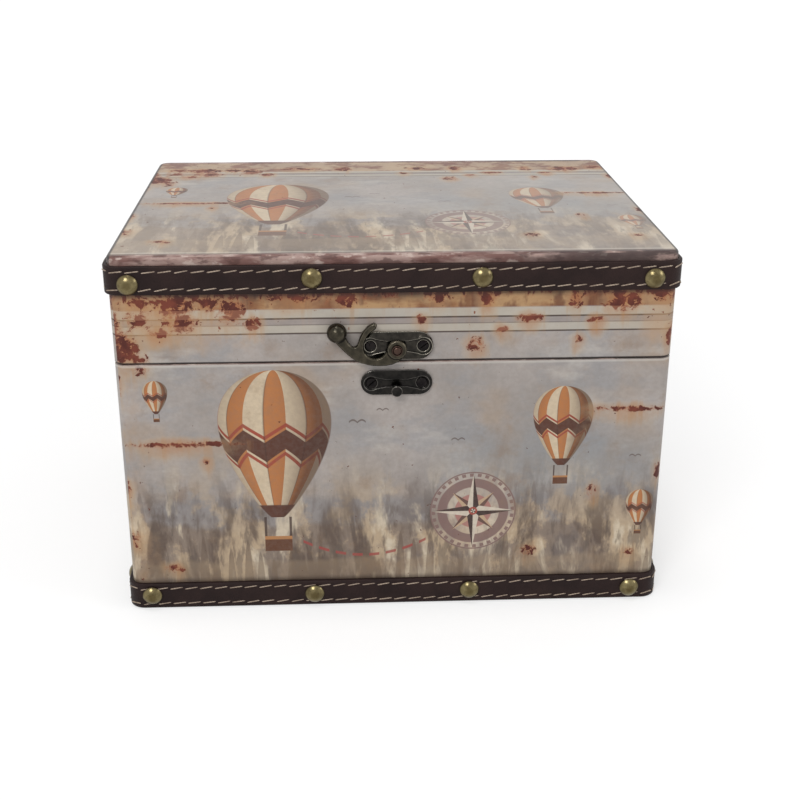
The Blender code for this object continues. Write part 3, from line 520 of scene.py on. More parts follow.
def paint_balloons(colour, u, v):
    """Striped hot-air balloons with their baskets."""
    x, y = on_motif(u, v, BALLOON_STRIPS, BALLOONS)
    inside = (1 - y * y).most(0)
    width = inside ** 0.5 * (0.64 + 0.30 * y - 0.04 * y * y)
    across = (x / width.most(0.001)).least(1).most(-1)
    body = (width - abs(x)).fade(0, 0.02) * y.over(-0.96)
    turn = across.math("ARCSINE", across) * (1 / math.pi)
    gore = turn.math("FRACT", turn * 4 + 8.25)
    band = abs(y - 0.10 + abs(gore - 0.5) * 0.35)
    shade = (abs(across + 0.30) ** 2.2 * 0.75).least(0.8)
    silk = gore.over(0.5).mix(tone(172, 112, 66), tone(196, 178, 152))
    silk = band.fade(0.135, 0.125).mix(silk, tone(84, 50, 38))
    silk = band.near(0.19, 0.030, 0.022).mix(silk, tone(150, 70, 52))
    silk = y.fade(-0.78, -0.80).mix(silk, tone(84, 50, 38))
    silk = shade.mix(silk, tone(70, 44, 34))
    silk = abs(gore - 0.5).near(0.5, 0.035, 0.005).coat(silk, 0.5, (60, 38, 30))
    ropes = abs(x).near(0.155, 0.022, 0.010) * y.over(-1.24) * (0 - y).over(0.955)
    basket = (0.17 - abs(x)).over(0) * (0.105 - abs(y + 1.33)).over(0)
    rim = y.near(-1.24, 0.04, 0.02)
    colour = ropes.coat(colour, 0.9, (62, 44, 38))
    colour = basket.mix(colour, rim.mix(tone(92, 58, 40), tone(168, 118, 74)))
    return body.mix(colour, silk)


def star(x, y, points, inner, turn):
    """Inside of a star of so many points, and which half of its points a place lies in."""
    angle = x.math("ARCTAN2", x, y) + (2 * math.pi + turn)
    reach = (x * x + y * y) ** 0.5
    slot = 2 * math.pi / points
    folded = angle.math("MODULO", angle + slot / 2, slot) - slot / 2
    along = reach * folded.math("COSINE", folded)
    aside = reach * abs(folded.math("SINE", folded))
    slope = (1 - inner * math.cos(slot / 2)) / (inner * math.sin(slot / 2))
    return (1 - along - aside * slope).fade(0, 0.03), folded.over(0)


def paint_compasses(colour, u, v):
    """A compass rose: rings, ticks and two crossed stars."""
    x, y = on_motif(u, v, (COMPASS_STRIP,), COMPASSES)
    reach = (x * x + y * y) ** 0.5
    angle = x.math("ARCTAN2", x, y) + math.pi
    ticks = angle.math("FRACT", angle * (COMPASS_TICKS / (2 * math.pi))).over(0.5)
    ticks = ticks * reach.near(0.92, 0.045, 0.035)
    disc = reach.fade(0.84, 0.82) * reach.fade(0.60, 0.62)
    rings = reach.near(0.985, 0.022, 0.012).most(disc).most(ticks)
    colour = reach.fade(1.0, 0.98).coat(colour, 0.35, (186, 170, 156))
    colour = rings.coat(colour, 0.9, (118, 92, 88))
    colour = reach.fade(0.44, 0.42).coat(colour, 0.9, (158, 108, 100))
    for scale, inner, turn, shaded, lit in (
        (1.45, 0.26, math.pi / 4, (178, 152, 124), (96, 70, 62)),
        (1.04, 0.20, 0, (196, 184, 168), (62, 46, 42)),
    ):
        points, half = star(x * scale, y * scale, 4, inner, turn)
        colour = points.mix(colour, half.mix(tone(*shaded), tone(*lit)))
    return reach.near(0.08, 0.03, 0.015).mix(colour, tone(150, 70, 58))


def paint_route(colour, u, v):
    """A dashed trail between a balloon and the compass."""
    line = TRAIL_LOWEST + (u - TRAIL_MIDDLE) ** 2.0 * TRAIL_BEND
    dash = u.math("FRACT", (u + 1.0) * (1 / TRAIL_DASH)).over(0.38)
    trail = v.near(line, *TRAIL_EDGES) * dash * (TRAIL_HALF_LENGTH - abs(u - TRAIL_MIDDLE)).over(0)
    return trail.coat(colour, 0.85, (148, 62, 58))


def paint_birds(colour, u, v):
    """A few gulls far off."""
    marks = None
    for middle, height, span in BIRDS:
        x = abs((u - middle) / span)
        y = (v - height) / span
        wing = x.math("SINE", x * math.pi) * 0.30
        mark = y.near(wing, 0.16, 0.06) * x.fade(1.0, 0.9)
        marks = mark if marks is None else marks.most(mark)
    return marks.coat(colour, 0.75, (82, 66, 62))


def rust_field(u, v, reach=0.0, run=0.0):
    """How much rust a place has, with each patch widened by a reach and drawn down by a run."""
    field = None
    for middle, height, half_width, half_height, strength in RUST_PATCHES:
        x = (u - middle) * (1 / (half_width + reach))
        above = v - height
        y = above * (1 / (half_height + reach))
        if run:
            y = y.most(above * (-1 / (half_height + reach + run)))
        patch = (1 - (x * x + y * y) * 0.5) * strength
        field = patch if field is None else field.most(patch)
    return field.most(0)


def board_mask(v, middle, half):
    """1 on a board, with a soft edge."""
    return v.near(middle, half + CLEARANCE, half)


def paint_boards(colour, at, v, side):
    """Edges of the boards, and the stained board under the lid's strap, which is paler on the top."""
    worn = at.shift(0, 0.4).stretch(1, 2).noise(30, 5, 0.62)
    stain = at.shift(0.7, 0.3).stretch(1, 0.5).noise(70, 4, 0.6)
    soot_and_shade = at.shift(0.2, 0.1).noise(28, 3, 0.5)
    blot = at.shift(0.3, 0.9).stretch(1, 1.6).noise(48, 5, 0.64)
    board = worn.fade(0.40, 0.58).mix(tone(124, 81, 54), tone(168, 134, 96))
    board = stain.fade(0.49, 0.59).coat(board, 0.8, (98, 58, 42))
    # Soot that darkens toward the lid's strap: partly a stain and partly painted shade under the strap
    board = (soot_and_shade.fade(0.44, 0.58) * v.fade(*SOOT_AND_SHADE_FADE) * side).coat(board, 0.85, (60, 44, 40))
    pale_board = blot.fade(0.47, 0.58).mix(tone(172, 152, 130), tone(116, 80, 70))
    board = (side * 0.75 + 0.25).mix(pale_board, board)
    colour = v.fade(*STAINED_BOARD_FADE).mix(colour, board)
    for middle, half in PALE_BOARDS:
        colour = board_mask(v, middle, half).coat(colour, 0.62, (178, 170, 156))
    colour = board_mask(v, *GREY_BOARD).coat(colour, 0.45, (134, 122, 116))
    wobble = (at.noise(14, 2, 0.5) - 0.5) * BOARD_LINE_WOBBLE
    for height, half, share in BOARD_LINES:
        colour = (v + wobble).near(height, half, half / 2).coat(colour, share, (58, 44, 38))
    return colour


def paint_edges(colour, at, u, v, place):
    """Blotched band along the top's front and back, a dark outline, painted shadow under the lid's strap, dirt and
    painted shade above the base's strap, and painted shade and highlight at the seam.
    """
    x, y, z = place.split()
    smear = at.shift(0.6, 0).stretch(1, 3).noise(42, 4, 0.6)
    blot = at.shift(0.1, 0.3).stretch(1, 2).noise(90, 4, 0.6)
    band = smear.fade(0.40, 0.58).mix(tone(156, 132, 124), tone(114, 82, 76))
    band = blot.fade(0.50, 0.60).coat(band, 0.7, (78, 52, 48))
    band = blot.fade(0.44, 0.36).coat(band, 0.7, (190, 172, 162))
    band = (u.fade(*DARK_BAND_FADE) * smear.fade(0.34, 0.46)).coat(band, 0.85, (62, 52, 51))
    colour = v.fade(*BACK_BAND_FADE).most(v.fade(*FRONT_BAND_FADE)).mix(colour, band)
    past_x = (abs(x) - (HALF_WIDTH - CORNER_RADIUS)).most(0)
    past_y = (y - (HALF_DEPTH - CORNER_RADIUS)).most(0)
    reach = (past_x * past_x + past_y * past_y) ** 0.5
    # Painted shadow under the lid's strap, broken up by the smear noise
    under = z.fade(*STRAP_SHADOW_FADE) * z.fade(*BEHIND_STRAP_FADE) * (smear * 1.4 - 0.10)
    for mask, share, levels in (
        (v.near(*PALE_RULE_SPOT), 0.45, (196, 188, 176)),
        (v.near(*DARK_RULE_SPOT), 0.75, (92, 78, 72)),
        (reach.fade(*OUTLINE_FADE) * z.fade(*OUTLINE_HEIGHT_FADE), 0.90, (56, 52, 51)),
        # Painted shadow under the lid's strap
        (under, 1.00, (66, 44, 38)),
        # Dirt with painted shade above the base's strap
        (z.fade(*DIRT_AND_SHADE_FADE) * (smear * 1.2 - 0.05), 0.85, (72, 61, 55)),
        # Painted shade in the seam between lid and base
        (z.near(*SEAM_SHADE_SPOT), 0.85, (36, 29, 26)),
        # Painted highlight on the base's rim below the seam
        (z.near(*SEAM_HIGHLIGHT_SPOT), 0.50, (192, 186, 178)),
    ):
        colour = mask.coat(colour, share, levels)
    return colour


def gathered(u, v, fades):
    """How far a place lies in a region where rust gathers."""
    along, height = fades
    return u.fade(*along) * v.fade(*height)


def paint_rust(colour, at, u, v, side):
    """Orange stains that run down, faded red patches, and broken dark red flakes."""
    field = rust_field(u, v)
    stain = rust_field(u, v, STAIN_REACH, STAIN_RUN)
    coarse = at.stretch(1, 0.8).noise(60, 6, 0.64)
    fine = at.shift(0.5, 0.5).noise(230, 6, 0.66, 0.5)
    hang = at.shift(0.8, 0.2).stretch(1, 0.45).noise(190, 5, 0.64, 0.4)
    runs = at.stretch(1, 0.07).noise(210, 3, 0.6)
    right_end = gathered(u, v, RIGHT_END_FADES) * u.fade(*RIGHT_END_STOP_FADE)
    ends = gathered(u, v, LEFT_END_FADES).most(right_end)
    rusty = ends.most(gathered(u, v, LEFT_COLUMN_FADES) * 0.6)
    wash = (rusty * 0.55 + coarse * 1.2 - 0.60).fade(0.05, 0.70) * side
    halo = (stain + coarse * 1.6 - 0.92).fade(0.05, 1.05)
    drip = runs.fade(0.50, 0.64) * stain.most(v.fade(*DRIP_FADE) * side * 0.35)
    colour = wash.coat(colour, 0.60, (176, 142, 108))
    colour = (halo * 0.60).mix(colour, halo.mix(tone(182, 160, 126), tone(166, 120, 80)))
    colour = drip.coat(colour, 0.45, (164, 122, 80))
    strength = field * 0.20 + fine - 0.645 - field.fade(0.30, 0.02) * 0.07
    fringe = v.fade(*FRINGE_FADE) * side * 0.24 + hang - 0.715
    dots = at.shift(0.2, 0.6).noise(340, 3, 0.6) - 0.715
    dots = dots + rusty * 0.06 + v.fade(*DOT_FADE) * side * 0.02
    wear = strength.most(fringe).most(dots)
    faded = wear.fade(-0.085, -0.005) * field.most(v.fade(*FADED_RUST_FADE) * side * 0.5)
    colour = faded.coat(colour, 0.85, (146, 84, 54))
    pale_boards = [board_mask(v, middle, half) for middle, half in PALE_BOARDS]
    red = coarse.fade(0.42, 0.58).mix(tone(76, 32, 24), tone(110, 53, 38))
    red = wear.fade(0.030, 0.008).mix(red, tone(66, 30, 22))
    red = pale_boards[0].most(pale_boards[1]).coat(red, 0.60, (146, 96, 74))
    flakes = wear.fade(0.0, 0.012)
    return flakes.mix(colour, red), flakes


def paint_stains(colour, at):
    """Overall grime: faint brown clouds, ragged specks and fine mottling of the ink."""
    grime = at.shift(0.2, 0.9).noise(34, 6, 0.68)
    speck = at.shift(0.4, 0.8).noise(150, 5, 0.7)
    ink = at.noise(420, 3, 0.6)
    colour = grime.fade(0.54, 0.72).coat(colour, 0.45, (132, 106, 82))
    colour = speck.fade(0.715, 0.735).coat(colour, 0.6, (92, 60, 46))
    return ink.fade(0.35, 0.65).coat(colour, 0.14, (112, 102, 96))


def paint_top_sheen(colour, u, v, side):
    """Painted sheen: the top is painted paler than the sides, most where the light falls."""
    top = 1 - side
    faint = (u.fade(*TOP_SHEEN_FADE) * 0.20 + 0.08) * top
    colour = faint.mix(colour, tone(176, 170, 164))
    sheen_patch = (u.fade(*SHEEN_ALONG_FADE) * 0.25 + 0.10) * v.fade(*SHEEN_HEIGHT_FADE) * top
    return sheen_patch.mix(colour, tone(194, 180, 164))


def make_printed_wrap(name):
    """Print under a clear coat: hills, trees, balloons and compasses on weathered, rusty boards."""
    material, start, place = new_material(name)
    at = start.node("UVMap", {"uv_map": PRINT_MAP})
    along, v, _ = at.split()
    u = along.math("WRAP", along, PICTURE_START + PICTURE_LENGTH, PICTURE_START)
    side = place.split()[2].fade(*SIDE_FADE)
    colour = paint_sky(at, u, v)
    colour = paint_ridge(colour, at, v, *FAR_RIDGE)
    colour = paint_poplars(colour, along, v, *FAR_POPLARS)
    colour = paint_ridge(colour, at, v, *NEAR_RIDGE)
    colour = paint_brushwork(colour, at, v)
    colour = paint_poplars(colour, along + NEAR_POPLARS_SHIFT, v, *NEAR_POPLARS)
    colour = paint_ridge(colour, at, v, *LOW_RIDGE)
    for paint_motif in (paint_compasses, paint_route, paint_birds, paint_balloons):
        colour = paint_motif(colour, u, v)
    colour = paint_stains(colour, at)
    # Painted sheen: the top is painted paler than the sides
    colour = paint_top_sheen(colour, u, v, side)
    colour = paint_boards(colour, at, v, side)
    colour, flakes = paint_rust(colour, at, u, v, side)
    colour = paint_edges(colour, at, u, v, place)
    grain = place.noise(1500, 2, 0.5)
    weave = place.noise(260, 3, 0.5)
    roughness = 0.38 + weave * 0.14 + flakes * 0.10
    bumps = ((grain, WRAP_GRAIN_DEPTH), (weave, WRAP_WEAVE_DEPTH))
    return dress(material, colour, roughness, bumps, specular=0.28)


def make_strap_leather(name):
    """Dark brown leatherette with a fine grain."""
    material, start, place = new_material(name)
    blotch = place.noise(55, 4, 0.6)
    pores = start.node("TexVoronoi", {"feature": "DISTANCE_TO_EDGE"}, {"Vector": place, "Scale": 1150.0})
    wrinkle = place.noise(420, 4, 0.6)
    colour = blotch.fade(0.35, 0.65).mix(tone(32, 20, 19), tone(43, 29, 27))
    colour = pores.fade(0.10, 0.0).coat(colour, 0.35, (20, 13, 12))
    bumps = ((pores.fade(0.0, 0.25), PORE_DEPTH), (wrinkle, WRINKLE_DEPTH))
    return dress(material, colour, 0.44 + blotch * 0.16, bumps, specular=0.15)


def make_stitch_thread(name):
    """Waxed taupe thread, twisted, with a little dirt."""
    material, start, place = new_material(name)
    dirt = place.noise(160, 3, 0.6)
    twist = place.node("TexWave", {"bands_direction": "DIAGONAL"}, {"Vector": place, "Scale": 420.0})
    colour = dirt.fade(0.35, 0.65).mix(tone(140, 122, 106), tone(174, 156, 138))
    colour = twist.fade(0.5, 0.0).coat(colour, 0.45, (92, 76, 66))
    return dress(material, colour, 0.62 + dirt * 0.1, ((twist, THREAD_DEPTH),))


def make_antique_brass(name):
    """Brass that has browned, with painted shade round its rim and a painted dark reflection on its crowns."""
    material, start, place = new_material(name)
    patch = place.noise(240, 4, 0.6)
    stain = place.shift(0.3, 0.1, 0.2).noise(700, 4, 0.65)
    height = start.node("Attribute", {"attribute_name": RELIEF_MAP}, output=2)
    colour = patch.fade(0.36, 0.66).mix(tone(122, 111, 80), tone(98, 88, 62))
    colour = stain.fade(0.52, 0.68).coat(colour, 0.4, (60, 50, 34))
    # Painted reflection: the crowns darkened as if a dark surrounding showed in them
    colour = height.fade(0.78, 0.98).coat(colour, 0.55, (76, 64, 38))
    # Painted shade: darker round the rim, where the dome meets the strap
    colour = height.fade(0.36, 0.10).coat(colour, 0.75, (46, 38, 28))
    bumps = ((stain, PIT_DEPTH), (patch, BRASS_DENT_DEPTH))
    return dress(material, colour, 0.15 + stain * 0.18, bumps, metallic=1.0)


def make_bronze(name, dark, light, wear_and_highlight, wear_and_highlight_share):
    """Cast metal with a dark patina, black in its hollows and, by a share, bright on its ridges, partly from wear
    and partly as a painted highlight.
    """
    material, start, place = new_material(name)
    cloud = place.noise(320, 4, 0.6)
    pits = place.shift(0.4, 0.1, 0.7).noise(1100, 4, 0.65)
    relief = start.node("Attribute", {"attribute_name": RELIEF_MAP}, output=2)
    colour = cloud.fade(0.35, 0.65).mix(tone(*dark), tone(*light))
    colour = relief.fade(*HOLLOW_FADE).coat(colour, 0.85, (20, 19, 19))
    # Ridges made brighter: partly wear and partly a painted highlight
    colour = relief.fade(*RIDGE_FADE).coat(colour, wear_and_highlight_share, wear_and_highlight)
    bumps = ((pits, PIT_DEPTH), (cloud, BRONZE_DENT_DEPTH))
    return dress(material, colour, 0.15 + pits * 0.18, bumps, metallic=1.0)


def make_fibreboard(name):
    """Pressed board, its fibres lying flat."""
    material, start, place = new_material(name)
    fibres = place.stretch(1, 1, 6).noise(300, 6, 0.7)
    cloud = place.noise(40, 3, 0.5)
    colour = fibres.fade(0.35, 0.65).mix(tone(118, 90, 64), tone(156, 124, 92))
    colour = cloud.fade(0.4, 0.7).coat(colour, 0.4, (134, 104, 74))
    return dress(material, colour, 0.80 + fibres * 0.12, ((fibres, FIBRE_DEPTH),))


def make_felt(name, dark, light):
    """Short dense felt with matted fibres."""
    material, start, place = new_material(name)
    mat = place.noise(900, 5, 0.75, 0.6)
    cloud = place.noise(60, 3, 0.55)
    colour = mat.fade(0.36, 0.64).mix(tone(*dark), tone(*light))
    colour = cloud.fade(0.35, 0.65).coat(colour, 0.35, dark)
    bumps = ((mat, FELT_MAT_DEPTH), (cloud, FELT_CLOUD_DEPTH))
    return dress(material, colour, 0.88 + mat * 0.1, bumps, sheen=0.35)


# Finishes: what makes each, then its levels
FINISH_RECIPES = {
    "printed_wrap": (make_printed_wrap,),
    "strap_leather": (make_strap_leather,),
    "stitch_thread": (make_stitch_thread,),
    "antique_brass": (make_antique_brass,),
    "dark_bronze": (make_bronze, (51, 48, 41), (69, 64, 54), (136, 128, 112), 0.35),
    "plate_bronze": (make_bronze, (42, 40, 37), (58, 55, 50), (158, 152, 140), 0.85),
    "catch_bronze": (make_bronze, (31, 30, 29), (42, 40, 38), (128, 124, 118), 0.60),
    "worn_bronze": (make_bronze, (58, 45, 40), (74, 58, 51), (112, 94, 82), 0.40),
    "screw_bronze": (make_bronze, (26, 24, 25), (40, 37, 36), (120, 114, 106), 0.50),
    "fibreboard": (make_fibreboard,),
    "lining_felt": (make_felt, (44, 32, 28), (76, 56, 48)),
    "foot_felt": (make_felt, (32, 29, 27), (54, 49, 46)),
}
FINISHES = {name: make(name, *levels) for name, (make, *levels) in FINISH_RECIPES.items()}


def add_object(name, data):
    obj = bpy.data.objects.new(name, data)
    bpy.context.collection.objects.link(obj)
    return obj


def new_mesh(name, bm):
    """A mesh of a bmesh, which is freed."""
    mesh = bpy.data.meshes.new(name)
    bm.to_mesh(mesh)
    bm.free()
    return mesh


def add_piece(name, bm, finish, body, replaced=()):
    """Makes a bmesh a piece of the box that moves with a body."""
    mesh = new_mesh(name, bm)
    mesh.materials.append(FINISHES[finish])
    mesh.shade_smooth()
    mesh.set_sharp_from_angle(angle=SHARP_ANGLE)
    piece = add_object(name, mesh)
    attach(piece, body)
    if replaced:
        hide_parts(*replaced)
    return piece


def even_normals(piece):
    """Keeps wide flat faces flat beside their rounded edges."""
    modifier = piece.modifiers.new("even_normals", "WEIGHTED_NORMAL")
    modifier.keep_sharp = True


def facing(side, point):
    """A frame whose local Z points out of a side of the box and whose local Y points up."""
    return Matrix.Translation(point) @ Matrix.Rotation(side, 4, "Z") @ Matrix.Rotation(math.pi / 2, 4, "X")


PIVOT_SEAT = facing(FRONT, (PIVOT.x, -HALF_DEPTH, PIVOT.z))


def outer_point(node, side):
    """Middle of a node's outermost face on a side."""
    low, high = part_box(node)
    out = Matrix.Rotation(side, 3, "Z") @ Vector((0, -1, 0))
    middle = (low + high) / 2
    return middle + out * (max(low.dot(out), high.dot(out)) - middle.dot(out))


def arc_shares(steps):
    """Pairs (1 - cos, sin) for a quarter turn."""
    angles = [math.pi / 2 * step / steps for step in range(steps + 1)]
    return [(1 - math.cos(angle), math.sin(angle)) for angle in angles]


def box_ring(inset, z):
    """Points round the box, so far inside its wrapped sides, with rounded corners."""
    radius = max(CORNER_RADIUS - inset, LINING_CORNER_RADIUS)
    run_x = HALF_WIDTH - inset - radius
    run_y = HALF_DEPTH - inset - radius
    points = []
    for quarter, (side_x, side_y) in enumerate(((1, 1), (-1, 1), (-1, -1), (1, -1))):
        for step in range(CORNER_STEPS + 1):
            angle = (quarter + step / CORNER_STEPS) * math.pi / 2
            x = side_x * run_x + radius * math.cos(angle)
            points.append((x, side_y * run_y + radius * math.sin(angle), z))
    return points


def sew(bm):
    """Merges a shape's doubles and points its faces outwards."""
    bmesh.ops.remove_doubles(bm, verts=bm.verts[:], dist=MERGE_DISTANCE)
    bmesh.ops.recalc_face_normals(bm, faces=bm.faces[:])
    return bm


def loft(rings, closed=False):
    """Extrudes the first ring's face through the other rings, and back to the first where closed."""
    bm = bmesh.new()
    caps = [bm.faces.new([bm.verts.new(point) for point in rings[0]])]
    for ring in rings[1:] + (rings[:1] if closed else []):
        extruded = bmesh.ops.extrude_face_region(bm, geom=caps[-1:])["geom"]
        caps.append(next(item for item in extruded if isinstance(item, bmesh.types.BMFace)))
        for vert, point in zip(caps[-1].verts, ring):
            vert.co = point
    bmesh.ops.delete(bm, geom=caps if closed else caps[1:-1], context="FACES_ONLY")
    return sew(bm)


def box_loft(profile, closed=False):
    """A shape round the box from its section, as insets and heights."""
    return loft([box_ring(inset, z) for inset, z in profile], closed)


def turned(profile, steps):
    """Radii and heights, turned about local Z. Points on the axis close the shape."""
    bm = bmesh.new()
    verts = [bm.verts.new((radius, 0, z)) for radius, z in profile]
    edges = [bm.edges.new(pair) for pair in zip(verts, verts[1:])]
    turn = {"cent": (0, 0, 0), "axis": (0, 0, 1), "angle": 2 * math.pi, "steps": steps}
    bmesh.ops.spin(bm, geom=verts + edges, use_merge=True, **turn)
    return sew(bm)


def fill_outline(bm, items):
    """Closes the outline that the edges among the items make."""
    edges = [item for item in items if isinstance(item, bmesh.types.BMEdge)]
    bmesh.ops.contextual_create(bm, geom=edges)


def join_into(whole, part):
    """Adds a bmesh to another and frees it."""
    mesh = new_mesh("part", part)
    whole.from_mesh(mesh)
    bpy.data.meshes.remove(mesh)


def picture_place(point, normal):
    """Where a point of the wrap lies on the picture: along the sides, or across the top."""
    if normal.z > 0.7:
        return point.x, (point.y + HALF_DEPTH) * BOX_TOP / (2 * HALF_DEPTH)
    turn = round(math.atan2(normal.x, -normal.y) / RIGHT) % 4
    local = Matrix.Rotation(-turn * RIGHT, 3, "Z") @ point
    half_along, half_out = (HALF_WIDTH, HALF_DEPTH) if turn % 2 == 0 else (HALF_DEPTH, HALF_WIDTH)
    run = half_along - CORNER_RADIUS
    past = abs(local.x) - run
    along = local.x
    if past > 0:
        angle = math.atan2(past, -local.y - half_out + CORNER_RADIUS)
        along = math.copysign(run + CORNER_RADIUS * angle, local.x)
    offset = turn - 4 if turn == 3 else turn
    return along + offset * PICTURE_LENGTH / 2, point.z


def add_wrap(owner, profile, closed):
    """The printed wrap of the lid or the base, with each face's place on the picture."""
    bm = box_loft(profile, closed)
    layer = bm.loops.layers.uv.new(PRINT_MAP)
    for face in bm.faces:
        for corner in face.loops:
            corner[layer].uv = picture_place(corner.vert.co, face.normal)
    even_normals(add_piece(owner + "_wrap", bm, "printed_wrap", owner, [owner + "_cover"]))


def make_wraps():
    """Wrap of the lid, over its top and sides, and of the base, both turned in over the rim."""
    inner = LID_HIGH.z - COVER_THICKNESS
    bottom = LID_LOW.z
    lid = [
        (TOP_EDGE_RADIUS, inner),
        (COVER_THICKNESS, inner - TOP_EDGE_RADIUS),
        (COVER_THICKNESS, bottom + COVER_THICKNESS),
        (RIM_INSET, bottom + COVER_THICKNESS),
        (RIM_INSET, bottom),
        (RIM_EDGE_RADIUS, bottom),
        (0, bottom + RIM_EDGE_RADIUS),
    ]
    for run, rise in arc_shares(EDGE_STEPS):
        lid.append((TOP_EDGE_RADIUS * run, BOX_TOP - TOP_EDGE_RADIUS * (1 - rise)))
    add_wrap("lid", lid, False)
    top = BASE_HIGH.z
    base = [
        (COVER_THICKNESS, BASE_LOW.z),
        (COVER_THICKNESS, top - COVER_THICKNESS),
        (RIM_INSET, top - COVER_THICKNESS),
        (RIM_INSET, top),
        (RIM_EDGE_RADIUS, top),
        (0, top - RIM_EDGE_RADIUS),
        (0, BASE_LOW.z),
    ]
    add_wrap("base", base, True)


def make_felt_lining(body, rim, end):
    """Felt on the inside walls and on the floor or the underside of the top."""
    inward = LINING_THICKNESS if end > rim else -LINING_THICKNESS
    roll = math.copysign(LINING_ROLL, inward)
    profile = [
        (LINING_OUTER_INSET, end),
        (LINING_OUTER_INSET, rim + roll),
        (LINING_OUTER_INSET + LINING_ROLL, rim),
        (LINING_INNER_INSET - LINING_ROLL, rim),
        (LINING_INNER_INSET, rim + roll),
        (LINING_INNER_INSET, end - inward - roll * 2),
        (LINING_INNER_INSET + LINING_ROLL, end - inward - roll / 2),
        (LINING_INNER_INSET + LINING_ROLL * 3, end - inward),
    ]
    even_normals(add_piece(body + "_felt", box_loft(profile), "lining_felt", body, [body + "_lining"]))


def make_felts():
    """Both linings, and the sheet on the underside, its edge a little rounded."""
    base_low, base_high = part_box("base_lining")
    lid_low, lid_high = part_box("lid_lining")
    make_felt_lining("base", base_high.z, base_low.z)
    make_felt_lining("lid", lid_low.z, lid_high.z)
    low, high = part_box("base_foot_sheet")
    inset = HALF_WIDTH - high.x
    profile = [(inset + LINING_ROLL, low.z), (inset, low.z + LINING_ROLL), (inset, high.z)]
    add_piece("foot_felt", box_loft(profile), "foot_felt", "base", ["base_foot_sheet"])


def strap_profile(bottom, top):
    """Section of a strap as distances out of the wrap and heights, with its stitch grooves."""
    radius = STRAP_EDGE_RADIUS
    rounding = [
        (STRAP_PROUD - radius * run, radius * (1 - rise))
        for run, rise in arc_shares(STRAP_EDGE_STEPS)
    ]
    lower = [(proud, bottom + rise) for proud, rise in reversed(rounding)]
    upper = [(proud, top - rise) for proud, rise in rounding]
    grooves = []
    for row in STITCH_ROWS:
        for shift, depth in GROOVE_SHARES:
            height = (bottom + top) / 2 + row + shift * GROOVE_HALF_WIDTH
            grooves.append((STRAP_PROUD - depth * GROOVE_DEPTH, height))
    return [(CLEARANCE, bottom)] + lower + grooves + upper + [(CLEARANCE, top)]


def make_strap(owner):
    """A strap run round the box from its joint at the middle of the back."""
    low, high = STRAPS[owner]
    run_x = HALF_WIDTH - CORNER_RADIUS
    run_y = HALF_DEPTH - CORNER_RADIUS
    bm = bmesh.new()
    profile = strap_profile(low.z, high.z)
    verts = [bm.verts.new((-STRAP_JOINT_GAP / 2, HALF_DEPTH + proud, z)) for proud, z in profile]
    start = bm.faces.new(verts)
    chain = verts + start.edges[:]
    half_run = run_x - STRAP_JOINT_GAP / 2
    corners = ((-run_x, run_y), (-run_x, -run_y), (run_x, -run_y), (run_x, run_y))
    runs = ((-half_run, 0), (0, -2 * run_y), (2 * run_x, 0), (0, 2 * run_y), (-half_run, 0))
    for index, (x, y) in enumerate(runs):
        straight = {"cent": (0, 0, 0), "axis": (0, 0, 1), "dvec": (x, y, 0), "angle": 0, "steps": 1}
        chain = bmesh.ops.spin(bm, geom=chain, **straight)["geom_last"]
        if index < len(corners):
            turn = {"cent": (*corners[index], 0), "axis": (0, 0, 1), "angle": math.pi / 2}
            chain = bmesh.ops.spin(bm, geom=chain, steps=CORNER_STEPS, **turn)["geom_last"]
    fill_outline(bm, chain)
    bmesh.ops.recalc_face_normals(bm, faces=bm.faces[:])
    node = owner + "_strap"
    even_normals(add_piece(node + "_band", bm, "strap_leather", owner, [node]))


def band_frame(distance, proud, z):
    """A frame on the strap, so far round from the front's left: local X along it and local Z out."""
    arc = (CORNER_RADIUS + proud) * math.pi / 2
    for side in (FRONT, RIGHT, BACK, LEFT + 2 * math.pi):
        across = side in (FRONT, BACK)
        half_along, half_out = (HALF_WIDTH, HALF_DEPTH) if across else (HALF_DEPTH, HALF_WIDTH)
        run = half_along - CORNER_RADIUS
        turn = Matrix.Rotation(side, 4, "Z")
        if distance < 2 * run:
            return turn @ facing(FRONT, (distance - run, -half_out - proud, z))
        distance -= 2 * run
        if distance < arc:
            corner = Matrix.Translation((run, CORNER_RADIUS - half_out, 0))
            swing = Matrix.Rotation(distance / arc * math.pi / 2, 4, "Z")
            return turn @ corner @ swing @ facing(FRONT, (0, -CORNER_RADIUS - proud, z))
        distance -= arc
    raise ValueError("past the end of the strap")


def stitch_profile():
    """A short thread with drawn-in ends, as radii and places along it."""
    half = STITCH_LENGTH / 2
    end = [(0, half), (STITCH_RADIUS * 0.6, half * 0.94), (STITCH_RADIUS, half * 0.75)]
    return [(radius, -z) for radius, z in end] + end[::-1]


def make_stitches(owner):
    """Both rows of slanted stitches of a strap."""
    low, high = STRAPS[owner]
    proud = STRAP_PROUD - GROOVE_DEPTH
    straight = 4 * (HALF_WIDTH + HALF_DEPTH - 2 * CORNER_RADIUS)
    length = straight + 2 * math.pi * (CORNER_RADIUS + proud)
    count = round(length / STITCH_PITCH)
    bm = bmesh.new()
    for row in STITCH_ROWS:
        phase = rng.random()
        for index in range(count):
            height = (low.z + high.z) / 2 + row + rng.uniform(-STITCH_WANDER, STITCH_WANDER)
            tilt = STITCH_TILT * rng.uniform(0.7, 1.3)
            place = band_frame((index + phase) % count * length / count, proud, height)
            lay = Matrix.Rotation(tilt, 4, "Z") @ Matrix.Rotation(math.pi / 2, 4, "Y")
            stitch = turned(stitch_profile(), STITCH_STEPS)
            stitch.transform(place @ lay)
            join_into(bm, stitch)
    add_piece(owner + "_strap_stitches", bm, "stitch_thread", owner)


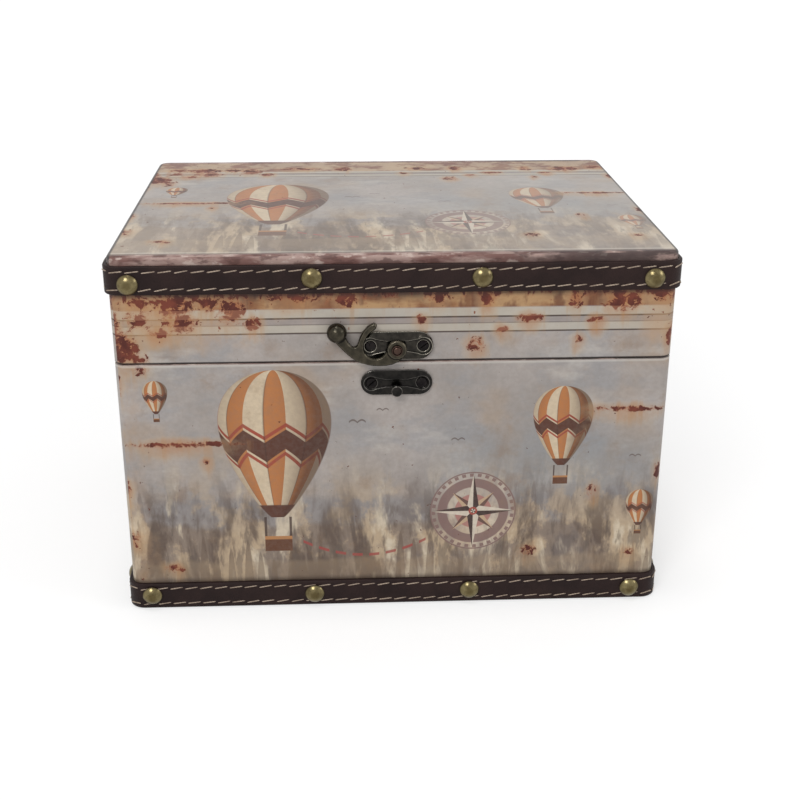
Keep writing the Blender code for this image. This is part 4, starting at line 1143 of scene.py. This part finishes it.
def nail_profile():
    """Dome and rolled rim of a nail's head, from its apex to its underside."""
    rise = NAIL_HEIGHT - NAIL_RIM_HEIGHT
    ball = (NAIL_RADIUS ** 2 + rise ** 2) / (2 * rise)
    half_turn = math.asin(NAIL_RADIUS / ball)
    angles = [half_turn * step / NAIL_DOME_STEPS for step in range(NAIL_DOME_STEPS + 1)]
    crown = [(ball * math.sin(angle), NAIL_HEIGHT - ball * (1 - math.cos(angle))) for angle in angles]
    return crown + [(NAIL_RADIUS * NAIL_UNDERSIDE_SHARE, 0), (0, 0)]


def add_nail(name, body, seat, replaced=()):
    """A dome nail on its seat, turned and tilted a little as a hammer leaves it."""
    bm = turned(nail_profile(), NAIL_STEPS)
    layer = bm.verts.layers.float.new(RELIEF_MAP)
    for vert in bm.verts:
        vert[layer] = vert.co.z / NAIL_HEIGHT
    lean = Matrix.Rotation(rng.uniform(-NAIL_TILT, NAIL_TILT), 4, "X")
    swing = Matrix.Rotation(rng.uniform(0, 2 * math.pi), 4, "Z")
    bm.transform(seat @ swing @ lean)
    add_piece(name, bm, "antique_brass", body, replaced)


def make_nails():
    """Every nail of both straps. The back's nails are like the front's."""
    for node in sorted(frame["nodes"]):
        owner, side, *rest = node.split("_")
        if rest[:1] == ["nail"]:
            top = outer_point(node, SIDES[side])
            seat = facing(SIDES[side], top) @ Matrix.Translation((0, 0, -NAIL_HEIGHT))
            add_nail(node + "_dome", owner, seat, [node])
    for owner, (low, high) in STRAPS.items():
        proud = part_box(owner + "_front_nail_1")[0].y + NAIL_HEIGHT
        for number, share in enumerate(BACK_NAIL_SHARES, 1):
            place = (share * (HALF_WIDTH - RIM_INSET), -proud, (low.z + high.z) / 2)
            add_nail(f"{owner}_back_nail_{number}_dome", owner, facing(BACK, place))


def loose(name, bm):
    """An object that only serves to shape another."""
    return add_object(name, new_mesh(name, bm))


def settled(obj, *tools):
    """A bmesh of an object with its modifiers applied. The object and its tools are removed."""
    graph = bpy.context.evaluated_depsgraph_get()
    bm = bmesh.new()
    bm.from_mesh(obj.evaluated_get(graph).to_mesh())
    for used in (obj, *tools):
        bpy.data.objects.remove(used, do_unlink=True)
    return bm


def carved(bm, cutter):
    """A bmesh with another cut out of it."""
    target = loose("carved", bm)
    tool = loose("cutter", cutter)
    modifier = target.modifiers.new("cut", "BOOLEAN")
    modifier.solver = "EXACT"
    modifier.object = tool
    return settled(target, tool)


def cast(*parts):
    """One smooth casting out of closed shapes that overlap."""
    joined = bmesh.new()
    for part in parts:
        join_into(joined, part)
    blank = loose("casting", joined)
    melt = blank.modifiers.new("melt", "REMESH")
    melt.mode = "VOXEL"
    melt.voxel_size = CAST_VOXEL
    smooth = blank.modifiers.new("smooth", "SMOOTH")
    smooth.factor = 0.5
    smooth.iterations = CAST_SMOOTHING
    bm = settled(blank)
    note_relief(bm)
    return bm


def note_relief(bm):
    """Stores how far each point stands out of the shape's smoothed self: ridges above 0, hollows below."""
    layer = bm.verts.layers.float.new(RELIEF_MAP)
    soft = bm.copy()
    axes = {"use_axis_x": True, "use_axis_y": True, "use_axis_z": True}
    for _ in range(RELIEF_STEPS):
        bmesh.ops.smooth_vert(soft, verts=soft.verts[:], factor=0.5, **axes)
    for vert, eased in zip(bm.verts, soft.verts):
        vert[layer] = (vert.co - eased.co).dot(vert.normal) * THOUSANDTHS
    soft.free()


def node_copy(node):
    """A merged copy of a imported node's loose triangles."""
    bm = bmesh.new()
    bm.from_mesh(frame["nodes"][node].data)
    bmesh.ops.remove_doubles(bm, verts=bm.verts[:], dist=MERGE_DISTANCE)
    return bm


def plate_ring(end_x, radius, turn, waist, z):
    """Two round ends, each turned so far about its middle, with a straight waist between them."""
    quarter = []
    for step in range(LOBE_STEPS + 1):
        angle = turn * step / LOBE_STEPS
        quarter.append((end_x + radius * math.cos(angle), radius * math.sin(angle)))
    quarter.append(waist)
    top = quarter + [(-x, y) for x, y in reversed(quarter)]
    return [(x, y, z) for x, y in top + [(x, -y) for x, y in reversed(top[1:-1])]]


def plate_shape(length, height, thickness, half_spacing):
    """A plate that slopes up to a ridge round its sunk panel, its back on local Z = 0."""
    waist_x = half_spacing * WAIST_START_SHARE
    outer = (length / 2 - height / 2, height / 2, math.pi / 2, (waist_x, height / 2))
    rings = [plate_ring(*outer, 0), plate_ring(*outer, PLATE_EDGE_HEIGHT)]
    lobe = height / 2 - PLATE_BORDER
    for ease, z in ((0, thickness), (PANEL_EASE, thickness), (2 * PANEL_EASE, thickness - PANEL_DEPTH)):
        waist = (waist_x, lobe - ease - PANEL_WAIST_DROP)
        rings.append(plate_ring(half_spacing, lobe - ease, math.pi * LOBE_TURN_SHARE, waist, z))
    sink = [
        (0, thickness),
        (COUNTERSINK_RADIUS, thickness),
        (COUNTERSINK_RADIUS, thickness - PANEL_DEPTH - CLEARANCE),
        (SCREW_SHANK_RADIUS, thickness - COUNTERSINK_DEPTH),
        (0, thickness - COUNTERSINK_DEPTH),
    ]
    bm = loft(rings)
    for x in (-half_spacing, half_spacing):
        cutter = turned(sink, RIVET_STEPS)
        bmesh.ops.translate(cutter, vec=(x, 0, 0), verts=cutter.verts[:])
        bm = carved(bm, cutter)
    return bm


def seated_plate(kind, thickness):
    """The latch's or the catch's plate, in its place on the front."""
    low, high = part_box(kind + "_plate")
    left, right = (outer_point(f"{kind}_screw_{end}", FRONT) for end in ("left", "right"))
    middle = (left + right) / 2
    bm = plate_shape(high.x - low.x, high.z - low.z, thickness, abs(right.x - left.x) / 2)
    bm.transform(facing(FRONT, (middle.x, high.y, middle.z)))
    return bm


def stud_shape():
    """The catch's headed stud, in its place on the front."""
    head_front = STUD_HEAD_BACK + STUD_HEAD_THICKNESS
    profile = [
        (0, head_front),
        (STUD_HEAD_RADIUS * 0.6, head_front),
        (STUD_HEAD_RADIUS * 0.9, head_front - STUD_HEAD_THICKNESS * 0.2),
        (STUD_HEAD_RADIUS, head_front - STUD_HEAD_THICKNESS * 0.5),
        (STUD_HEAD_RADIUS * 0.93, STUD_HEAD_BACK),
        (STUD_NECK_RADIUS, STUD_HEAD_BACK),
        (STUD_NECK_RADIUS, CATCH_THICKNESS / 2),
        (0, CATCH_THICKNESS / 2),
    ]
    stud = turned(profile, RIVET_STEPS)
    stud.transform(facing(FRONT, (PIVOT.x, -HALF_DEPTH, PIVOT.z - HOOK_REACH)))
    return stud


def make_plates():
    """Plate on the lid, with countersunk screw holes, and the one on the base with its stud."""
    latch = cast(seated_plate("latch", LATCH_THICKNESS))
    add_piece("latch_plate_cast", latch, "plate_bronze", "lid", ["latch_plate"])
    catch = cast(seated_plate("catch", CATCH_THICKNESS), stud_shape())
    add_piece("catch_plate_cast", catch, "catch_bronze", "base", ["catch_plate"])


def make_hook():
    """Swing hook: curved arm and horn, round ball and hub, cast in one."""
    ball = bmesh.new()
    steps = {"u_segments": BALL_STEPS, "v_segments": BALL_STEPS // 2}
    bmesh.ops.create_uvsphere(ball, radius=BALL_RADIUS, **steps)
    centre = Vector((*(HOOK_REACH * Vector(BALL_SHARES)), BALL_BACK + BALL_FLAT))
    bmesh.ops.translate(ball, vec=centre, verts=ball.verts[:])
    everything = ball.verts[:] + ball.edges[:] + ball.faces[:]
    plane = {"plane_co": (0, 0, BALL_BACK), "plane_no": (0, 0, -1), "clear_outer": True}
    fill_outline(ball, bmesh.ops.bisect_plane(ball, geom=everything, **plane)["geom_cut"])
    side = [(HUB_RADIUS - HUB_EASE, HUB_TOP), (HUB_RADIUS, HUB_TOP - HUB_EASE), (HUB_RADIUS, HUB_ROOT)]
    hub = turned([(0, HUB_TOP)] + side + [(0, HUB_ROOT)], RIVET_STEPS)
    ball.transform(PIVOT_SEAT)
    hub.transform(PIVOT_SEAT)
    bm = cast(node_copy("latch_hook"), ball, hub)
    add_piece("latch_hook_cast", bm, "dark_bronze", "hook", ["latch_hook"])


def make_rivet():
    """Peened rivet: a collar, a groove and a low dome."""
    seat = RIVET_SEAT
    groove = seat + RIVET_GROOVE_HEIGHT
    dome = [
        (RIVET_GROOVE_RADIUS * (1 - run), groove + (RIVET_DOME_HEIGHT - RIVET_GROOVE_HEIGHT) * rise)
        for run, rise in arc_shares(EDGE_STEPS)
    ]
    middle_radius = (RIVET_COLLAR_RADIUS + RIVET_GROOVE_RADIUS) / 2
    half_collar = (RIVET_COLLAR_RADIUS - RIVET_GROOVE_RADIUS) / 2
    collar = [
        (middle_radius - half_collar * 0.5, seat + RIVET_COLLAR_HEIGHT * 0.92),
        (middle_radius, seat + RIVET_COLLAR_HEIGHT),
        (middle_radius + half_collar * 0.6, seat + RIVET_COLLAR_HEIGHT * 0.88),
        (RIVET_COLLAR_RADIUS, seat + RIVET_COLLAR_HEIGHT * 0.5),
        (RIVET_COLLAR_RADIUS, seat),
    ]
    shank = [(RIVET_SHANK_RADIUS, seat), (RIVET_SHANK_RADIUS, CLEARANCE), (0, CLEARANCE)]
    bm = turned(dome[::-1] + collar + shank, RIVET_STEPS)
    bm.transform(PIVOT_SEAT)
    add_piece("latch_rivet_head", bm, "worn_bronze", "lid", ["latch_rivet"])


def screw_shape(length):
    """A slotted countersunk screw whose head is flush with local Z = 0, apart from its crown."""
    profile = [
        (0, SCREW_CROWN),
        (SCREW_HEAD_RADIUS * 0.45, SCREW_CROWN * 0.9),
        (SCREW_HEAD_RADIUS * 0.8, SCREW_CROWN * 0.5),
        (SCREW_HEAD_RADIUS, 0),
        (SCREW_SHANK_RADIUS, -SCREW_HEAD_DEPTH),
        (SCREW_SHANK_RADIUS, SCREW_TIP_LENGTH - length),
        (0, -length),
    ]
    slot = bmesh.new()
    bmesh.ops.create_cube(slot, size=1)
    bmesh.ops.scale(slot, vec=(3 * SCREW_HEAD_RADIUS, SLOT_WIDTH, 2 * SLOT_DEPTH), verts=slot.verts[:])
    return carved(turned(profile, SCREW_STEPS), slot)


def make_screws():
    """Every screw of the latch and the hinges, its slot turned as it happens to stop."""
    for node in sorted(frame["nodes"]):
        if "_screw_" not in node:
            continue
        side = BACK if "hinge" in node else FRONT
        low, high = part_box(node)
        bm = screw_shape(high.y - low.y - SCREW_CROWN)
        spin = Matrix.Rotation(rng.uniform(0, math.pi), 4, "Z")
        bm.transform(facing(side, outer_point(node, side)) @ Matrix.Translation((0, 0, -SCREW_CROWN)) @ spin)
        body = "lid" if node.startswith(("lid", "latch")) else "base"
        add_piece(node + "_slotted", bm, "screw_bronze", body, [node])


def make_leaf(node):
    """A hinge leaf with eased edges."""
    bm = node_copy(node)
    sharp = [edge for edge in bm.edges if edge.calc_face_angle(0) > SHARP_ANGLE]
    bevel = {"affect": "EDGES", "segments": 2, "profile": 0.5, "material": -1, "clamp_overlap": True}
    bmesh.ops.bevel(bm, geom=sharp, offset=LEAF_EASE, offset_type="OFFSET", **bevel)
    add_piece(node + "_eased", bm, "dark_bronze", node.split("_")[0], [node])


def make_pin(node):
    """A hinge pin with a head at each end."""
    low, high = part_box(node)
    half = (high.x - low.x) / 2
    seat = half - PIN_HEAD_LENGTH
    tip = [
        (0, half),
        (PIN_HEAD_RADIUS * 0.7, half - PIN_HEAD_LENGTH * 0.15),
        (PIN_HEAD_RADIUS, half - PIN_HEAD_LENGTH * 0.5),
        (PIN_HEAD_RADIUS, seat),
        (PIN_RADIUS, seat),
    ]
    bm = turned(tip + [(radius, -z) for radius, z in reversed(tip)], SCREW_STEPS)
    bm.transform(Matrix.Translation((low + high) / 2) @ Matrix.Rotation(math.pi / 2, 4, "Y"))
    add_piece(node + "_round", bm, "dark_bronze", "base", [node])


def make_hinges():
    for node in sorted(frame["nodes"]):
        if "_leaf_" in node:
            make_leaf(node)
        if node.startswith("hinge_pin"):
            make_pin(node)


def finish_cad_nodes():
    """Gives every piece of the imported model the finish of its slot."""
    for row in frame["record"]["subparts"]:
        mesh = frame["nodes"][row["node"]].data
        mesh.materials.clear()
        mesh.materials.append(FINISHES[row["material_slot"]])


def make_camera():
    data = bpy.data.cameras.new("camera")
    data.lens = CAMERA_LENS
    camera = add_object("camera", data)
    camera.location = CAMERA_PLACE
    camera.rotation_euler = CAMERA_TURN
    bpy.context.scene.camera = camera


# Studio: floor, and lamps with their places, sizes and power in watts
FLOOR_SIZE = 12.0
LAMPS = (
    ("key", (-0.75, -1.75, 1.72), 0.9, 22.5),
    ("top", (-0.15, -0.1, 2.4), 0.6, 10.5),
    ("side", (2.2, -0.8, 1.2), 1.0, 8.0),
)
WORLD_LEVEL = 0.60
FLOOR_LEVEL = 0.88
FLOOR_GLOW_SHARE = 0.55
GLOW_FADE = (0.30, 0.90)


def white_for_sight(start, plain):
    """A level for diffuse light, and white for what the camera, metal and glass see."""
    camera, glossy, through = (start.node("LightPath", output=output) for output in (0, 3, 6))
    return camera.most(glossy).most(through) * (1 - plain) + plain


def make_lamp(name, place, size, power):
    data = bpy.data.lights.new(name, "AREA")
    data.shape = "DISK"
    data.size = size
    data.energy = power
    lamp = add_object(name, data)
    lamp.location = place
    lamp.rotation_euler = (-Vector(place)).to_track_quat("-Z", "Y").to_euler()


def make_studio():
    scene = bpy.context.scene
    scene.view_settings.view_transform = "Standard"
    world = bpy.data.worlds.new("studio")
    scene.world = world
    world.use_nodes = True
    start = Wire(world.node_tree)
    background = world.node_tree.nodes["Background"]
    background.inputs["Color"].default_value = (1, 1, 1, 1)
    start.plug(background.inputs["Strength"], white_for_sight(start, WORLD_LEVEL))
    for lamp in LAMPS:
        make_lamp(*lamp)
    bm = bmesh.new()
    bmesh.ops.create_grid(bm, x_segments=1, y_segments=1, size=FLOOR_SIZE / 2)
    floor = loose("floor", bm)
    floor.data.materials.append(make_floor_finish())


def make_floor_finish():
    """Matt white that keeps the box's shadow, and is plain white to the eye away from the box."""
    material, start, place = new_material("floor")
    shader = material.node_tree.nodes["Principled BSDF"]
    shader.inputs["Roughness"].default_value = 0.9
    shader.inputs["Emission Strength"].default_value = 1.0
    x, y, _ = place.split()
    away = ((x * x + y * y) ** 0.5).fade(*GLOW_FADE)
    glow = (away * (1 - FLOOR_GLOW_SHARE) + FLOOR_GLOW_SHARE) * white_for_sight(start, 0)
    start.plug(shader.inputs["Base Color"], white_for_sight(start, FLOOR_LEVEL) * (1 - glow))
    start.plug(shader.inputs["Emission Color"], glow)
    return material


def build():
    finish_cad_nodes()
    make_wraps()
    make_felts()
    for owner in STRAPS:
        make_strap(owner)
        make_stitches(owner)
    make_nails()
    make_plates()
    make_hook()
    make_rivet()
    make_screws()
    make_hinges()
    make_camera()
    make_studio()


build()
